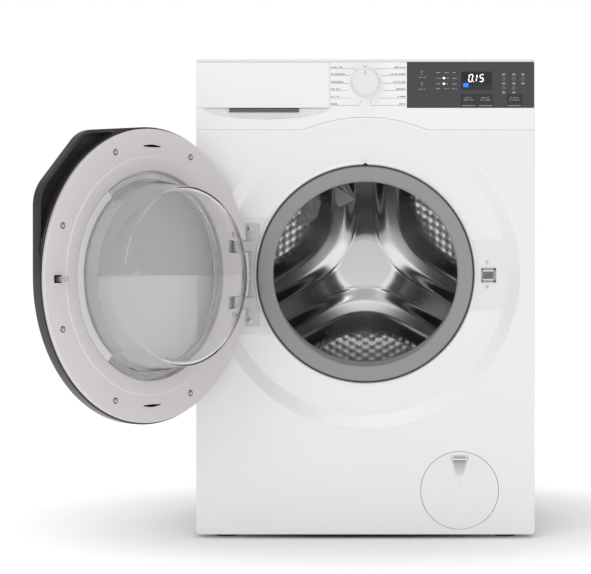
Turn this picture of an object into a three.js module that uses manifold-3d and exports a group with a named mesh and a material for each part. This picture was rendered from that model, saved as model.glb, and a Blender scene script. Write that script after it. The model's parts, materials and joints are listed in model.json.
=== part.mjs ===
// Front load washing machine, in millimetres, +Z up, front towards -Y.
// Pieces are drawn about the cabinet's middle (x = 0), its front plane (y = 0) and the floor (z = 0).
// The whole is then moved so that the origin is the middle of the front left foot's pad, on the floor.
import * as THREE from "three";
import { mergeVertices } from "three/addons/utils/BufferGeometryUtils.js";
import Module from "manifold-3d";

const wasm = await Module();
wasm.setup();

// ---- driving dimensions ----
const GAP = 0.3; // between pieces that touch
const SHEET = 1.2; // cabinet steel
const WIDTH = 600;
const HEIGHT = 850;
const DEPTH = 560; // front plane to the shell's back
const FLOOR_GAP = 8; // under the cabinet
const SHELL_START = 25; // the shell's front edge, behind the front panel's flanges
const SIDE = WIDTH / 2;

// levelling feet
const FOOT_R = 20;
const FOOT_PAD = 8;
const FOOT_STUD_R = 5;
const FOOT_X = 250;
const FOOT_FRONT_Y = 55;
const FOOT_REAR_Y = 505;
const STUD_CLEARANCE = 0.5;

// base pan
const PAN_BOTTOM = 14;
const PAN_TOP = 40;
const PAN_WALL = 2;
const PAN_FRONT = 6; // clear of the filter flap as it swings

// worktop and control fascia
const WORKTOP_T = 5;
const SEAM_Z = 724.6; // joint between front panel and fascia
const BAND_Z = 763.6; // top of the plain band, foot of drawer and display
const FASCIA_D = 24;
const FASCIA_T = 3;
const DRAWER_RIGHT = -63;
const DISPLAY_LEFT = 73.7;

// door mouth
const DOOR_Z = 469.5;
const DISH_R = 276;
const DISH_FLOOR_R = 251.6;
const DISH_DEPTH = 16;
const DISH_LIP = 1.5; // strip of panel left above the dish
const MOUTH_R = 193;
const MOUTH_RIM = 12;

// filter flap and pump
const FLAP_X = 167;
const FLAP_Z = 86;
const FLAP_R = 68.6;
const FLAP_T = 3;
const FLAP_CLEARANCE = 0.8;
const FILTER_R = 30;
const PUMP_WALL = 5;
const PUMP_BACK = 130;

// tub group
const TUB_RISE = 12; // an empty tub hangs this far above the door's middle
const TUB_R = 266;
const TUB_WALL = 4;
const TUB_FRONT_Y = 84;
const TUB_SPLIT_Y = 260;
const TUB_REAR_Y = 442;
const COLLAR_R = 174.4;
const HUB_R = 44;
const HUB_LENGTH = 40;
const HANG_Y = 300; // springs and dampers
const SPRING_X = 205;
const SPRING_R = 13;
const SPRING_TOP = 800;
const SPRING_LUG_TOP = 672;
const DAMPER_X = 170;
const DAMPER_ROD_R = 5;
const DAMPER_R = 13;
const DAMPER_TOP = 200;
const DAMPER_LUG = 250;

// drum group
const DRUM_R = 240; // inside
const DRUM_T = 1.2;
const DRUM_FRONT_Y = 91.5;
const DRUM_BACK_Y = 412;
const DRUM_MOUTH_R = 172;
const LIFTER_H = 45;
const LIFTER_W = 60;
const LIFTER_START = 130;
const LIFTER_END = 390;
const SHAFT_R = 12.5;
const BEARING_R = 30;
const BEARING_W = 14;

// belt drive
const PULLEY_R = 150;
const PULLEY_W = 18;
const PULLEY_Y = 488;
const MOTOR_PULLEY_R = 11;
const MOTOR_Z = 150;
const MOTOR_R = 52;
const MOTOR_START = 330;
const MOTOR_END = 470;
const BELT_T = 3;
const BELT_W = 12;

// door, drawn closed
const HINGE_X = -230;
const HINGE_Y = -12;
const DOOR_OPEN = 128.5; // degrees, as it stands at rest
const COVER_R = 250;
const COVER_T = 20;
const COVER_WALL = 7;
const COVER_SKIN = 2.2;
const CORNER_OVERHANG = 26; // of the handle corner past the round, at 45 degrees
const CORNER_FILLET = 60;
const CORNER_TILT = 4.1; // degrees that the corner's top side falls away from level
const CORNER_BACK = 4; // the handle corner stays this far in front of the cabinet
const RING_INSET = 3; // of the ring behind the cover's edge
const RING_R = COVER_R - RING_INSET;
const RING_HOLE_R = 176;
const RING_STEP_R = 199;
const RING_FACE = 7;
const RING_RAISED = 8.7;
const WINDOW_R = 187.5;
const BOWL_FLANGE_R = 172;
const BOWL_R = 161.3;
const BOWL_END_R = 150;
const BOWL_DEPTH = 96;
const BOWL_WALL = 5;

// door hinge and lock
const EYE_R = 5.2;
const PIN_R = 3;
const PIN_CLEARANCE = 0.4;
const EAR_H = 18;
const EAR_HALF = 3.6; // half an ear's thickness
const EAR_Z = [418.6, 519];
const SLOT_H = 23;
const LOCK_X = 219;
const LOCK_Z = 467;
const HOOK_W = 7;

// detergent drawer
const TRAY_WALL = 2;
const TRAY_BACK = 250;
const TRAY_BOTTOM = 770;
const TRAY_TOP = 832;
const HOUSING_WALL = 2;
const GRIP_LEFT = -242;
const GRIP_RIGHT = -118;
const SCOOP_HALF = 110;
const SCOOP_DROP = 20;
const SCOOP_DEPTH = 14;

// programme knob and keys
const KNOB_Z = 809;
const KNOB_R = 26.5;
const KNOB_FACE_R = 23;
const KNOB_D = 20.5;
const KNOB_SHAFT_R = 4;
const KEY_LEFTS = [170, 199.5, 251];
const KEY_W = 26;
const KEY_BOTTOM = 766.5;
const KEY_TOP = 787;
const KEY_CLEARANCE = 0.4;

// services at the back
const SERVICE_X = 240;
const SERVICE_Z = 800;
const DRAIN_Z = 100;

const TUB_Z = DOOR_Z + TUB_RISE;
const WORKTOP_BOTTOM = HEIGHT - WORKTOP_T;
const FASCIA_TOP = WORKTOP_BOTTOM - GAP;
const FINE = 48; // facets round the door's rings, the tub and the drum
const SMALL = 12; // facets round small parts

// ---- shaping helpers ----
function solid(geometry) {
  const bare = geometry.index ? geometry.toNonIndexed() : geometry.clone();
  bare.deleteAttribute("normal");
  bare.deleteAttribute("uv");
  const merged = mergeVertices(bare, 1e-4);
  const kept = [];
  const index = merged.index.array;
  for (let i = 0; i < index.length; i += 3) {
    const [a, b, c] = [index[i], index[i + 1], index[i + 2]];
    if (a !== b && b !== c && c !== a) kept.push(a, b, c);
  }
  return new wasm.Manifold(
    new wasm.Mesh({
      numProp: 3,
      vertProperties: merged.attributes.position.array,
      triVerts: new Uint32Array(kept),
    }),
  );
}

function geometryOf(manifold) {
  const mesh = manifold.getMesh();
  const geometry = new THREE.BufferGeometry();
  geometry.setAttribute("position", new THREE.BufferAttribute(new Float32Array(mesh.vertProperties), 3));
  geometry.setIndex(new THREE.BufferAttribute(new Uint32Array(mesh.triVerts), 1));
  geometry.computeVertexNormals();
  return geometry;
}

function join(first, ...others) {
  return others.reduce((sum, other) => sum.add(other), first);
}

function cut(first, ...others) {
  return others.reduce((rest, other) => rest.subtract(other), first);
}

// A box from its lower to its upper corner.
function block(x0, x1, y0, y1, z0, z1) {
  const box = new THREE.BoxGeometry(x1 - x0, y1 - y0, z1 - z0);
  return solid(box.translate((x0 + x1) / 2, (y0 + y1) / 2, (z0 + z1) / 2));
}

// A closed profile of [radius, y] turned about the Y axis through (x, z).
function turned(profile, x, z, facets) {
  let area = 0;
  profile.forEach(([r, y], i) => {
    const [r2, y2] = profile[(i + 1) % profile.length];
    area += r * y2 - r2 * y;
  });
  const ordered = area > 0 ? profile : [...profile].reverse();
  const points = ordered.map(([r, y]) => new THREE.Vector2(r, y));
  const onAxis = points[0].x === 0 && points[points.length - 1].x === 0;
  if (!onAxis) points.push(points[0].clone());
  return solid(new THREE.LatheGeometry(points, facets).translate(x, 0, z));
}

// A rod or disc along Y.
function rodY(r, y0, y1, x, z, facets) {
  const rod = new THREE.CylinderGeometry(r, r, y1 - y0, facets);
  return solid(rod.translate(x, (y0 + y1) / 2, z));
}

// A rod or disc along Z.
function rodZ(r, z0, z1, x, y, facets) {
  const rod = new THREE.CylinderGeometry(r, r, z1 - z0, facets).rotateX(Math.PI / 2);
  return solid(rod.translate(x, y, (z0 + z1) / 2));
}

// A closed profile of [radius, z] turned about the Z axis through (x, y).
function turnedZ(profile, x, y, facets) {
  const upright = new THREE.Matrix4().makeRotationX(Math.PI / 2);
  const about = turned(profile, 0, 0, facets);
  return solid(geometryOf(about).applyMatrix4(upright).translate(x, y, 0));
}

// A shape drawn in x and z, given thickness from y0 to y1.
function plateY(shape, y0, y1, curveSegments) {
  const options = { depth: y1 - y0, bevelEnabled: false, curveSegments };
  return solid(new THREE.ExtrudeGeometry(shape, options).rotateX(Math.PI / 2).translate(0, y1, 0));
}

// A shape drawn in x and y, given height from z0 to z1.
function plateZ(shape, z0, z1, curveSegments) {
  const options = { depth: z1 - z0, bevelEnabled: false, curveSegments };
  return solid(new THREE.ExtrudeGeometry(shape, options).translate(0, 0, z0));
}

function polygon(points) {
  return new THREE.Shape(points.map(([a, b]) => new THREE.Vector2(a, b)));
}

const finishes = {
  body: new THREE.MeshStandardMaterial({ color: 0xececee, roughness: 0.35, metalness: 0.0 }),
  plastic: new THREE.MeshStandardMaterial({ color: 0xf1f1f2, roughness: 0.4, metalness: 0.0 }),
  display: new THREE.MeshStandardMaterial({ color: 0x424244, roughness: 0.25, metalness: 0.0 }),
  key: new THREE.MeshStandardMaterial({ color: 0x4a4a4c, roughness: 0.35, metalness: 0.0 }),
  zinc: new THREE.MeshStandardMaterial({ color: 0xa8a8a8, roughness: 0.4, metalness: 0.9 }),
  steel: new THREE.MeshStandardMaterial({ color: 0xc4c6c8, roughness: 0.28, metalness: 1.0 }),
  cast: new THREE.MeshStandardMaterial({ color: 0xb4b6b8, roughness: 0.55, metalness: 0.9 }),
  rubber: new THREE.MeshStandardMaterial({ color: 0x9a9897, roughness: 0.7, metalness: 0.0 }),
  black: new THREE.MeshStandardMaterial({ color: 0x1c1c1e, roughness: 0.6, metalness: 0.0 }),
  tub: new THREE.MeshStandardMaterial({ color: 0xb9bcbe, roughness: 0.6, metalness: 0.0 }),
  concrete: new THREE.MeshStandardMaterial({ color: 0x8d8a86, roughness: 0.95, metalness: 0.0 }),
  cover: new THREE.MeshStandardMaterial({ color: 0x2e2f32, roughness: 0.3, metalness: 0.0 }),
  ring: new THREE.MeshStandardMaterial({ color: 0xcdc8c8, roughness: 0.45, metalness: 0.0 }),
  glass: new THREE.MeshStandardMaterial({ color: 0xe8ecee, roughness: 0.05, metalness: 0.0 }),
  grey: new THREE.MeshStandardMaterial({ color: 0xc8c8ca, roughness: 0.5, metalness: 0.0 }),
};

function piece(name, manifold, finish) {
  const mesh = new THREE.Mesh(geometryOf(manifold), finish);
  mesh.name = name;
  return mesh;
}

// ---- cabinet ----
function cabinetShell() {
  const outer = block(-SIDE, SIDE, SHELL_START, DEPTH, 12, FASCIA_TOP);
  const hollow = block(-SIDE + SHEET, SIDE - SHEET, SHELL_START - 1, DEPTH - SHEET, 0, HEIGHT);
  const service = block(-210, 210, DEPTH - 20, DEPTH + 1, 130, 760);
  const holes = [
    rodY(14, DEPTH - 20, DEPTH + 1, -SERVICE_X, SERVICE_Z, SMALL),
    rodY(12, DEPTH - 20, DEPTH + 1, SERVICE_X, SERVICE_Z, SMALL),
    rodY(15, DEPTH - 20, DEPTH + 1, -SERVICE_X, DRAIN_Z, SMALL),
  ];
  return piece("cabinet_shell", cut(outer, hollow, service, ...holes), finishes.body);
}

function backPanel() {
  const sheet = block(-225, 225, DEPTH + GAP, DEPTH + GAP + SHEET, 115, 775);
  const press = block(-180, 180, DEPTH - 12, DEPTH + GAP + SHEET, 160, 730);
  const hollow = block(-180 + SHEET, 180 - SHEET, DEPTH - 12 + SHEET, DEPTH + 9, 160 + SHEET, 730 - SHEET);
  return piece("back_panel", cut(join(sheet, press), hollow), finishes.zinc);
}

function basePan() {
  const inset = SHEET + GAP;
  const outer = block(-SIDE + inset, SIDE - inset, PAN_FRONT, DEPTH - inset, PAN_BOTTOM, PAN_TOP);
  const hollow = block(
    -SIDE + inset + PAN_WALL,
    SIDE - inset - PAN_WALL,
    PAN_FRONT + PAN_WALL,
    DEPTH - inset - PAN_WALL,
    PAN_BOTTOM + PAN_WALL,
    PAN_TOP + 1,
  );
  const holes = footPlaces().map(({ x, y }) => rodZ(FOOT_STUD_R + STUD_CLEARANCE, 0, PAN_TOP, x, y, SMALL));
  return piece("base_pan", cut(outer, hollow, ...holes), finishes.black);
}

function footPlaces() {
  return [
    { name: "foot_front_left", x: -FOOT_X, y: FOOT_FRONT_Y },
    { name: "foot_front_right", x: FOOT_X, y: FOOT_FRONT_Y },
    { name: "foot_rear_left", x: -FOOT_X, y: FOOT_REAR_Y },
    { name: "foot_rear_right", x: FOOT_X, y: FOOT_REAR_Y },
  ];
}

function feet() {
  return footPlaces().map(({ name, x, y }) => {
    const profile = [
      [0, 0],
      [FOOT_R - 1, 0],
      [FOOT_R, 1.5],
      [FOOT_R, FOOT_PAD - 2],
      [FOOT_R - 4, FOOT_PAD],
      [FOOT_STUD_R, FOOT_PAD],
      [FOOT_STUD_R, PAN_TOP - 4],
      [0, PAN_TOP - 4],
    ];
    return piece(name, turnedZ(profile, x, y, SMALL), finishes.black);
  });
}

// The front sheet's outline: square but for small rounds at its feet, and a bulge over the dish.
function frontOutline() {
  const bulgeR = DISH_R + DISH_LIP;
  const rise = SEAM_Z - DOOR_Z;
  const start = Math.asin(rise / bulgeR);
  const shape = new THREE.Shape();
  shape.moveTo(-SIDE + 6, FLOOR_GAP);
  shape.lineTo(SIDE - 6, FLOOR_GAP);
  shape.absarc(SIDE - 6, FLOOR_GAP + 6, 6, -Math.PI / 2, 0, false);
  shape.lineTo(SIDE, SEAM_Z);
  shape.absarc(0, DOOR_Z, bulgeR, start, Math.PI - start, false);
  shape.lineTo(-SIDE, SEAM_Z);
  shape.lineTo(-SIDE, FLOOR_GAP + 6);
  shape.absarc(-SIDE + 6, FLOOR_GAP + 6, 6, Math.PI, 1.5 * Math.PI, false);
  return shape;
}

function frontPanel() {
  const sheet = plateY(frontOutline(), 0, SHEET, 16);
  const dish = turned(
    [
      [DISH_R + 1, 0.3],
      [DISH_R - 0.5, 0.3],
      [DISH_FLOOR_R, DISH_DEPTH],
      [MOUTH_R + 5, DISH_DEPTH],
      [MOUTH_R + 2.5, DISH_DEPTH - 2],
      [MOUTH_R, DISH_DEPTH - 1],
      [MOUTH_R, DISH_DEPTH + MOUTH_RIM],
      [MOUTH_R + SHEET, DISH_DEPTH + MOUTH_RIM],
      [MOUTH_R + SHEET, DISH_DEPTH + SHEET],
      [DISH_FLOOR_R + 0.5, DISH_DEPTH + SHEET],
      [DISH_R + 1, 1.0],
    ],
    0,
    DOOR_Z,
    FINE,
  );
  const flangeLeft = block(-SIDE, -SIDE + SHEET, 0.2, SHELL_START - GAP, FLOOR_GAP + 8, SEAM_Z - GAP);
  const flangeRight = block(SIDE - SHEET, SIDE, 0.2, SHELL_START - GAP, FLOOR_GAP + 8, SEAM_Z - GAP);
  const dishHole = rodY(DISH_R, -1, SHEET + 1, 0, DOOR_Z, FINE);
  const flapHole = rodY(FLAP_R + FLAP_CLEARANCE, -1, SHEET + 1, FLAP_X, FLAP_Z, FINE);
  const lockHole = block(LOCK_X - 11.5, LOCK_X + 9.5, 0, 40, LOCK_Z - 11, LOCK_Z + 11);
  const plate = cut(join(sheet, flangeLeft, flangeRight), dishHole, flapHole);
  return piece("front_panel", cut(join(plate, dish), lockHole), finishes.body);
}

function worktop() {
  const r = 6;
  const shape = new THREE.Shape();
  shape.moveTo(-SIDE + r, 0);
  shape.lineTo(SIDE - r, 0);
  shape.absarc(SIDE - r, r, r, -Math.PI / 2, 0, false);
  shape.lineTo(SIDE, DEPTH);
  shape.lineTo(-SIDE, DEPTH);
  shape.lineTo(-SIDE, r);
  shape.absarc(-SIDE + r, r, r, Math.PI, 1.5 * Math.PI, false);
  return piece("worktop", plateZ(shape, WORKTOP_BOTTOM, HEIGHT, 4), finishes.body);
}

function crossbeam() {
  const beam = block(-SIDE + 2, SIDE - 2, HANG_Y - 10, HANG_Y + 10, SPRING_TOP + 12, WORKTOP_BOTTOM - 4);
  const channel = block(-SIDE + 30, SIDE - 30, HANG_Y - 8, HANG_Y + 8, SPRING_TOP + 16, WORKTOP_BOTTOM);
  const hooks = [-SPRING_X, SPRING_X].map((x) =>
    block(x - 5, x + 5, HANG_Y - 3, HANG_Y + 3, SPRING_TOP, SPRING_TOP + 13),
  );
  return piece("crossbeam", join(cut(beam, channel), ...hooks), finishes.zinc);
}

// ---- control fascia ----
function controlFascia() {
  const outer = block(-SIDE, SIDE, 0, FASCIA_D, SEAM_Z + GAP, FASCIA_TOP);
  const hollow = block(
    -SIDE + FASCIA_T,
    SIDE - FASCIA_T,
    FASCIA_T,
    FASCIA_D + 1,
    SEAM_Z + GAP + FASCIA_T,
    FASCIA_TOP - FASCIA_T,
  );
  const frontCut = FASCIA_T + GAP;
  const display = block(DISPLAY_LEFT - GAP, SIDE + 1, -1, frontCut, BAND_Z, HEIGHT);
  const drawer = block(-SIDE - 1, DRAWER_RIGHT + GAP, -1, frontCut, BAND_Z, HEIGHT);
  const bulgeR = (DISH_R + DISH_LIP + GAP) / Math.cos(Math.PI / FINE);
  const bulge = rodY(bulgeR, -1, FASCIA_D + 1, 0, DOOR_Z, FINE);
  const scoopMiddle = (GRIP_LEFT + GRIP_RIGHT) / 2 + 4;
  const scoopBlock = block(
    scoopMiddle - SCOOP_HALF - 4,
    scoopMiddle + SCOOP_HALF + 4,
    1,
    SCOOP_DEPTH + 6,
    BAND_Z - SCOOP_DROP - 6,
    BAND_Z,
  );
  const lens = new THREE.SphereGeometry(1, 40, 20).scale(SCOOP_HALF, SCOOP_DEPTH, SCOOP_DROP);
  const scoop = solid(lens.translate(scoopMiddle, 0, BAND_Z));
  const shaftHole = rodY(KNOB_SHAFT_R + 0.5, -1, FASCIA_D, 0, KNOB_Z, SMALL);
  const shell = cut(outer, hollow, display, drawer, shaftHole);
  return piece("control_fascia", cut(join(shell, scoopBlock), scoop, bulge), finishes.plastic);
}

function displayPanel() {
  const plate = block(DISPLAY_LEFT, SIDE - 1, 0, FASCIA_T, BAND_Z + GAP, FASCIA_TOP);
  const holes = KEY_LEFTS.map((x) =>
    block(
      x - KEY_CLEARANCE,
      x + KEY_W + KEY_CLEARANCE,
      -1,
      FASCIA_T + 1,
      KEY_BOTTOM - KEY_CLEARANCE,
      KEY_TOP + KEY_CLEARANCE,
    ),
  );
  return piece("display_panel", cut(plate, ...holes), finishes.display);
}

function keys() {
  const names = ["key_options", "key_delay", "key_start"];
  return KEY_LEFTS.map((x, i) => {
    const cap = block(x, x + KEY_W, -0.5, FASCIA_T + 2, KEY_BOTTOM, KEY_TOP);
    return piece(names[i], cap, finishes.key);
  });
}

function controlUnit() {
  const box = block(85, 290, 9, 40, 772, 838);
  const chamfer = block(84, 140, 30, 41, 771, 800);
  return piece("control_unit", cut(box, chamfer), finishes.grey);
}

function programmeKnob() {
  const profile = [
    [0, -KNOB_D],
    [KNOB_FACE_R - 3, -KNOB_D],
    [KNOB_FACE_R, -KNOB_D + 2],
    [KNOB_FACE_R + 1, -5],
    [KNOB_R, -3.5],
    [KNOB_R, -0.4],
    [KNOB_SHAFT_R, -0.4],
    [KNOB_SHAFT_R, 12],
    [0, 12],
  ];
  return piece("programme_knob", turned(profile, 0, KNOB_Z, FINE), finishes.plastic);
}

// ---- detergent drawer ----
const TRAY_LEFT = -SIDE + 14;
const TRAY_RIGHT = DRAWER_RIGHT - 13;

function drawerFront() {
  const plate = block(-SIDE + 1, DRAWER_RIGHT, 0, FASCIA_T, BAND_Z + GAP, FASCIA_TOP);
  const body = block(TRAY_LEFT, TRAY_RIGHT, FASCIA_T - 0.2, 16, BAND_Z + 2.4, TRAY_TOP + 6);
  const pocket = block(GRIP_LEFT, GRIP_RIGHT, 5, SCOOP_DEPTH, BAND_Z, BAND_Z + 13);
  const rear = block(TRAY_LEFT + 3, TRAY_RIGHT - 3, 6, 17, BAND_Z + 17, TRAY_TOP + 3);
  return piece("drawer_front", cut(join(plate, body), pocket, rear), finishes.plastic);
}

function drawerTray() {
  const front = 16 + GAP;
  const w = TRAY_WALL;
  const outer = block(TRAY_LEFT, TRAY_RIGHT, front, TRAY_BACK, TRAY_BOTTOM, TRAY_TOP);
  const edges = [TRAY_LEFT, TRAY_LEFT + 78, TRAY_LEFT + 136, TRAY_RIGHT];
  const pockets = [0, 1, 2].map((i) =>
    block(
      edges[i] + (i ? w / 2 : w),
      edges[i + 1] - (i < 2 ? w / 2 : w),
      front + w,
      TRAY_BACK - w,
      TRAY_BOTTOM + w,
      TRAY_TOP + 1,
    ),
  );
  return piece("drawer_tray", cut(outer, ...pockets), finishes.grey);
}

function dispenserHousing() {
  const w = HOUSING_WALL;
  const slack = 3;
  const [x0, x1] = [TRAY_LEFT - slack, TRAY_RIGHT + slack];
  const [y0, y1] = [FASCIA_D + 2, TRAY_BACK + 16];
  const [z0, z1] = [TRAY_BOTTOM - 1, TRAY_TOP + 7];
  const outer = block(x0 - w, x1 + w, y0, y1 + w, z0 - w, z1 + w);
  const hollow = block(x0, x1, y0 - 1, y1, z0, z1);
  return piece("dispenser_housing", cut(outer, hollow), finishes.grey);
}

// ---- services at the back ----
function inletValve() {
  const body = block(-SERVICE_X - 22, -SERVICE_X + 22, 500, 545, SERVICE_Z - 20, SERVICE_Z + 22);
  const spigot = rodY(13, 540, DEPTH + 18, -SERVICE_X, SERVICE_Z, SMALL);
  const bore = rodY(8, DEPTH - 4, DEPTH + 19, -SERVICE_X, SERVICE_Z, SMALL);
  return piece("inlet_valve", cut(join(body, spigot), bore), finishes.grey);
}

function powerInlet() {
  const profile = [
    [0, DEPTH - 20],
    [11, DEPTH - 20],
    [11, DEPTH + GAP],
    [16, DEPTH + GAP],
    [16, DEPTH + 3],
    [9, DEPTH + 12],
    [4.5, DEPTH + 12],
    [4.5, DEPTH - 10],
    [0, DEPTH - 10],
  ];
  return piece("power_inlet", turned(profile, SERVICE_X, SERVICE_Z, SMALL), finishes.black);
}

function drainOutlet() {
  const profile = [
    [9, DEPTH - 40],
    [14, DEPTH - 40],
    [14, DEPTH + 6],
    [12, DEPTH + 24],
    [9, DEPTH + 24],
  ];
  return piece("drain_outlet", turned(profile, -SERVICE_X, DRAIN_Z, SMALL), finishes.grey);
}

// ---- filter flap and pump ----
function filterFlap() {
  const disc = rodY(FLAP_R, 0, FLAP_T, FLAP_X, FLAP_Z, FINE);
  const dish = rodY(FLAP_R - 8, FLAP_T - 1.2, FLAP_T + 1, FLAP_X, FLAP_Z, FINE);
  return piece("filter_flap", cut(disc, dish), finishes.body);
}

function pumpFilter() {
  const cap = turned(
    [
      [0, 10],
      [FILTER_R - 1, 10],
      [FILTER_R, 12],
      [FILTER_R, 30],
      [FILTER_R - 6, 30],
      [FILTER_R - 6, 92],
      [0, 92],
    ],
    FLAP_X,
    FLAP_Z,
    28,
  );
  const sides = [-1, 1].map((s) =>
    block(FLAP_X + (s > 0 ? 5 : -24), FLAP_X + (s > 0 ? 24 : -5), 9, 19, FLAP_Z - 17, FLAP_Z + 17),
  );
  return piece("pump_filter", cut(cap, ...sides), finishes.grey);
}

function pumpHousing() {
  const bore = FILTER_R + 1;
  const profile = [
    [bore, 22],
    [bore + PUMP_WALL, 22],
    [bore + PUMP_WALL, 100],
    [24, PUMP_BACK],
    [0, PUMP_BACK],
    [0, 100],
    [bore, 100],
  ];
  return piece("pump_housing", turned(profile, FLAP_X, FLAP_Z, 28), finishes.grey);
}

// ---- door mouth fittings ----
// A closed wall of even thickness along a run of [radius, y] points.
function wallAlong(run, thickness) {
  const points = run.map(([r, y]) => new THREE.Vector2(r, y));
  const offset = (side) =>
    points.map((p, i) => {
      const before = points[Math.max(i - 1, 0)];
      const after = points[Math.min(i + 1, points.length - 1)];
      const into = p.clone().sub(before).normalize();
      const out = after.clone().sub(p).normalize();
      const a = into.lengthSq() ? into : out;
      const b = out.lengthSq() ? out : into;
      const normal = new THREE.Vector2(-a.y - b.y, a.x + b.x).normalize();
      const stretch = 1 / Math.max(0.5, normal.dot(new THREE.Vector2(-a.y, a.x)));
      return p.clone().addScaledVector(normal, (side * thickness * stretch) / 2);
    });
  return [...offset(1), ...offset(-1).reverse()].map((p) => [p.x, p.y]);
}

function doorSeal() {
  const lipY = DISH_DEPTH - 4.5;
  const sleeve = COLLAR_R - GAP - 1.6;
  const foldEnd = TUB_FRONT_Y - 24;
  const run = [
    [MOUTH_R - 2.1, DISH_DEPTH + MOUTH_RIM - 2],
    [MOUTH_R - 2.1, lipY],
    [MOUTH_R - 28.5, lipY],
    [MOUTH_R - 26, 42],
    [MOUTH_R + 5, 46],
    [MOUTH_R + 5, foldEnd - 7],
    [sleeve, foldEnd],
    [sleeve, TUB_FRONT_Y - 1],
  ];
  const seal = turned(wallAlong(run, 3), 0, DOOR_Z, FINE);
  // the sleeve end is carried up to the tub's middle
  const geometry = geometryOf(seal);
  const place = geometry.getAttribute("position");
  for (let i = 0; i < place.count; i += 1) {
    const share = THREE.MathUtils.clamp((place.getY(i) - 42) / (foldEnd - 42), 0, 1);
    place.setZ(i, place.getZ(i) + TUB_RISE * share);
  }
  const mesh = new THREE.Mesh(geometry, finishes.rubber);
  mesh.name = "door_seal";
  return mesh;
}

function hingeBracket() {
  const top = DISH_DEPTH - GAP;
  const plate = block(-212, -187, top - 2.5, top, 376, 559);
  const footX = -203;
  const footY = top - 5.5;
  const along = Math.atan2(HINGE_Y - footY, HINGE_X - footX);
  const ears = EAR_Z.map((z) => {
    const arm = new THREE.Shape();
    arm.absarc(footX, footY, EAR_HALF, along + Math.PI / 2, along + 1.5 * Math.PI, false);
    arm.absarc(HINGE_X, HINGE_Y, EYE_R, along - Math.PI / 2, along + Math.PI / 2, false);
    const low = z - EAR_H / 2;
    const high = z + EAR_H / 2;
    const heel = block(footX - 4, footX + 9, footY - 2, top - 1, low, high);
    return join(plateZ(arm, low, high, 8), heel);
  });
  const bores = EAR_Z.map((z) => rodZ(PIN_R + PIN_CLEARANCE, z - EAR_H, z + EAR_H, HINGE_X, HINGE_Y, SMALL));
  const mouth = rodY(MOUTH_R + 6, 0, DISH_DEPTH + 1, 0, DOOR_Z, FINE);
  return piece("hinge_bracket", cut(join(cut(plate, mouth), ...ears), ...bores), finishes.zinc);
}

function doorLock() {
  const face = DISH_DEPTH - GAP;
  const plate = block(LOCK_X - 13, LOCK_X + 13, face - 3, face, LOCK_Z - 12.7, LOCK_Z + 12.7);
  const neck = block(LOCK_X - 11, LOCK_X + 9, face - 2, face + 6, LOCK_Z - 10.5, LOCK_Z + 10.5);
  const box = block(LOCK_X - 19, LOCK_X + 19, face + 2, face + 34, LOCK_Z - 30, LOCK_Z + 30);
  const slot = block(LOCK_X - 10.5, LOCK_X + 8.5, face - 4, face + 22, LOCK_Z - 6.5, LOCK_Z + 6.5);
  return piece("door_lock", cut(join(plate, neck, box), slot), finishes.grey);
}

// ---- tub ----
function tubFront() {
  const inner = TUB_R - TUB_WALL;
  const y = TUB_FRONT_Y;
  const profile = [
    [COLLAR_R, y - 14],
    [COLLAR_R + TUB_WALL, y - 14],
    [COLLAR_R + TUB_WALL, y],
    [TUB_R - 11, y],
    [TUB_R, y + 11],
    [TUB_R, TUB_SPLIT_Y - GAP],
    [inner, TUB_SPLIT_Y - GAP],
    [inner, y + 13],
    [inner - 9, y + TUB_WALL],
    [COLLAR_R, y + TUB_WALL],
  ];
  return piece("tub_front", turned(profile, 0, TUB_Z, FINE), finishes.tub);
}

const HEATER_DROP = 250;
const HEATER_HALF = 36;

function tubRear() {
  const inner = TUB_R - TUB_WALL;
  const wall = TUB_REAR_Y - TUB_WALL;
  const profile = [
    [inner, TUB_SPLIT_Y],
    [TUB_R, TUB_SPLIT_Y],
    [TUB_R, TUB_REAR_Y],
    [HUB_R, TUB_REAR_Y],
    [HUB_R, TUB_REAR_Y + HUB_LENGTH],
    [BEARING_R + GAP, TUB_REAR_Y + HUB_LENGTH],
    [BEARING_R + GAP, wall],
    [inner, wall],
  ];
  const springLugs = [-SPRING_X, SPRING_X].map((x) =>
    block(x - 12, x + 12, HANG_Y - 8, HANG_Y + 8, SPRING_LUG_TOP - 50, SPRING_LUG_TOP),
  );
  const damperLugs = [-DAMPER_X, DAMPER_X].map((x) =>
    block(x - 10, x + 10, HANG_Y - 10, HANG_Y + 10, DAMPER_LUG, DAMPER_LUG + 45),
  );
  const inside = rodY(inner - 0.5, TUB_SPLIT_Y - 1, wall - 0.5, 0, TUB_Z, FINE);
  const heaterHole = block(
    -HEATER_HALF,
    HEATER_HALF,
    wall - 5,
    TUB_REAR_Y + 5,
    TUB_Z - HEATER_DROP - 7,
    TUB_Z - HEATER_DROP + 11,
  );
  const shell = join(turned(profile, 0, TUB_Z, FINE), ...springLugs, ...damperLugs);
  return piece("tub_rear", cut(shell, inside, heaterHole), finishes.tub);
}

function heater() {
  const z = TUB_Z - HEATER_DROP;
  const back = TUB_REAR_Y - 8;
  const path = new THREE.CurvePath();
  const corner = (x, y) => new THREE.Vector3(x, y, z);
  path.add(new THREE.LineCurve3(corner(-24, back), corner(-24, 224)));
  path.add(new THREE.CubicBezierCurve3(corner(-24, 224), corner(-24, 192), corner(24, 192), corner(24, 224)));
  path.add(new THREE.LineCurve3(corner(24, 224), corner(24, back)));
  const section = new THREE.Shape();
  section.absarc(0, 0, 4, 0, 2 * Math.PI, false);
  const options = { steps: 36, extrudePath: path, bevelEnabled: false, curveSegments: 4 };
  const tube = solid(new THREE.ExtrudeGeometry(section, options));
  const half = HEATER_HALF - GAP;
  const flange = block(-half, half, back - 6, TUB_REAR_Y + 4, z - 7 + GAP, z + 11 - GAP);
  return piece("heater", join(tube, flange), finishes.steel);
}

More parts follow.
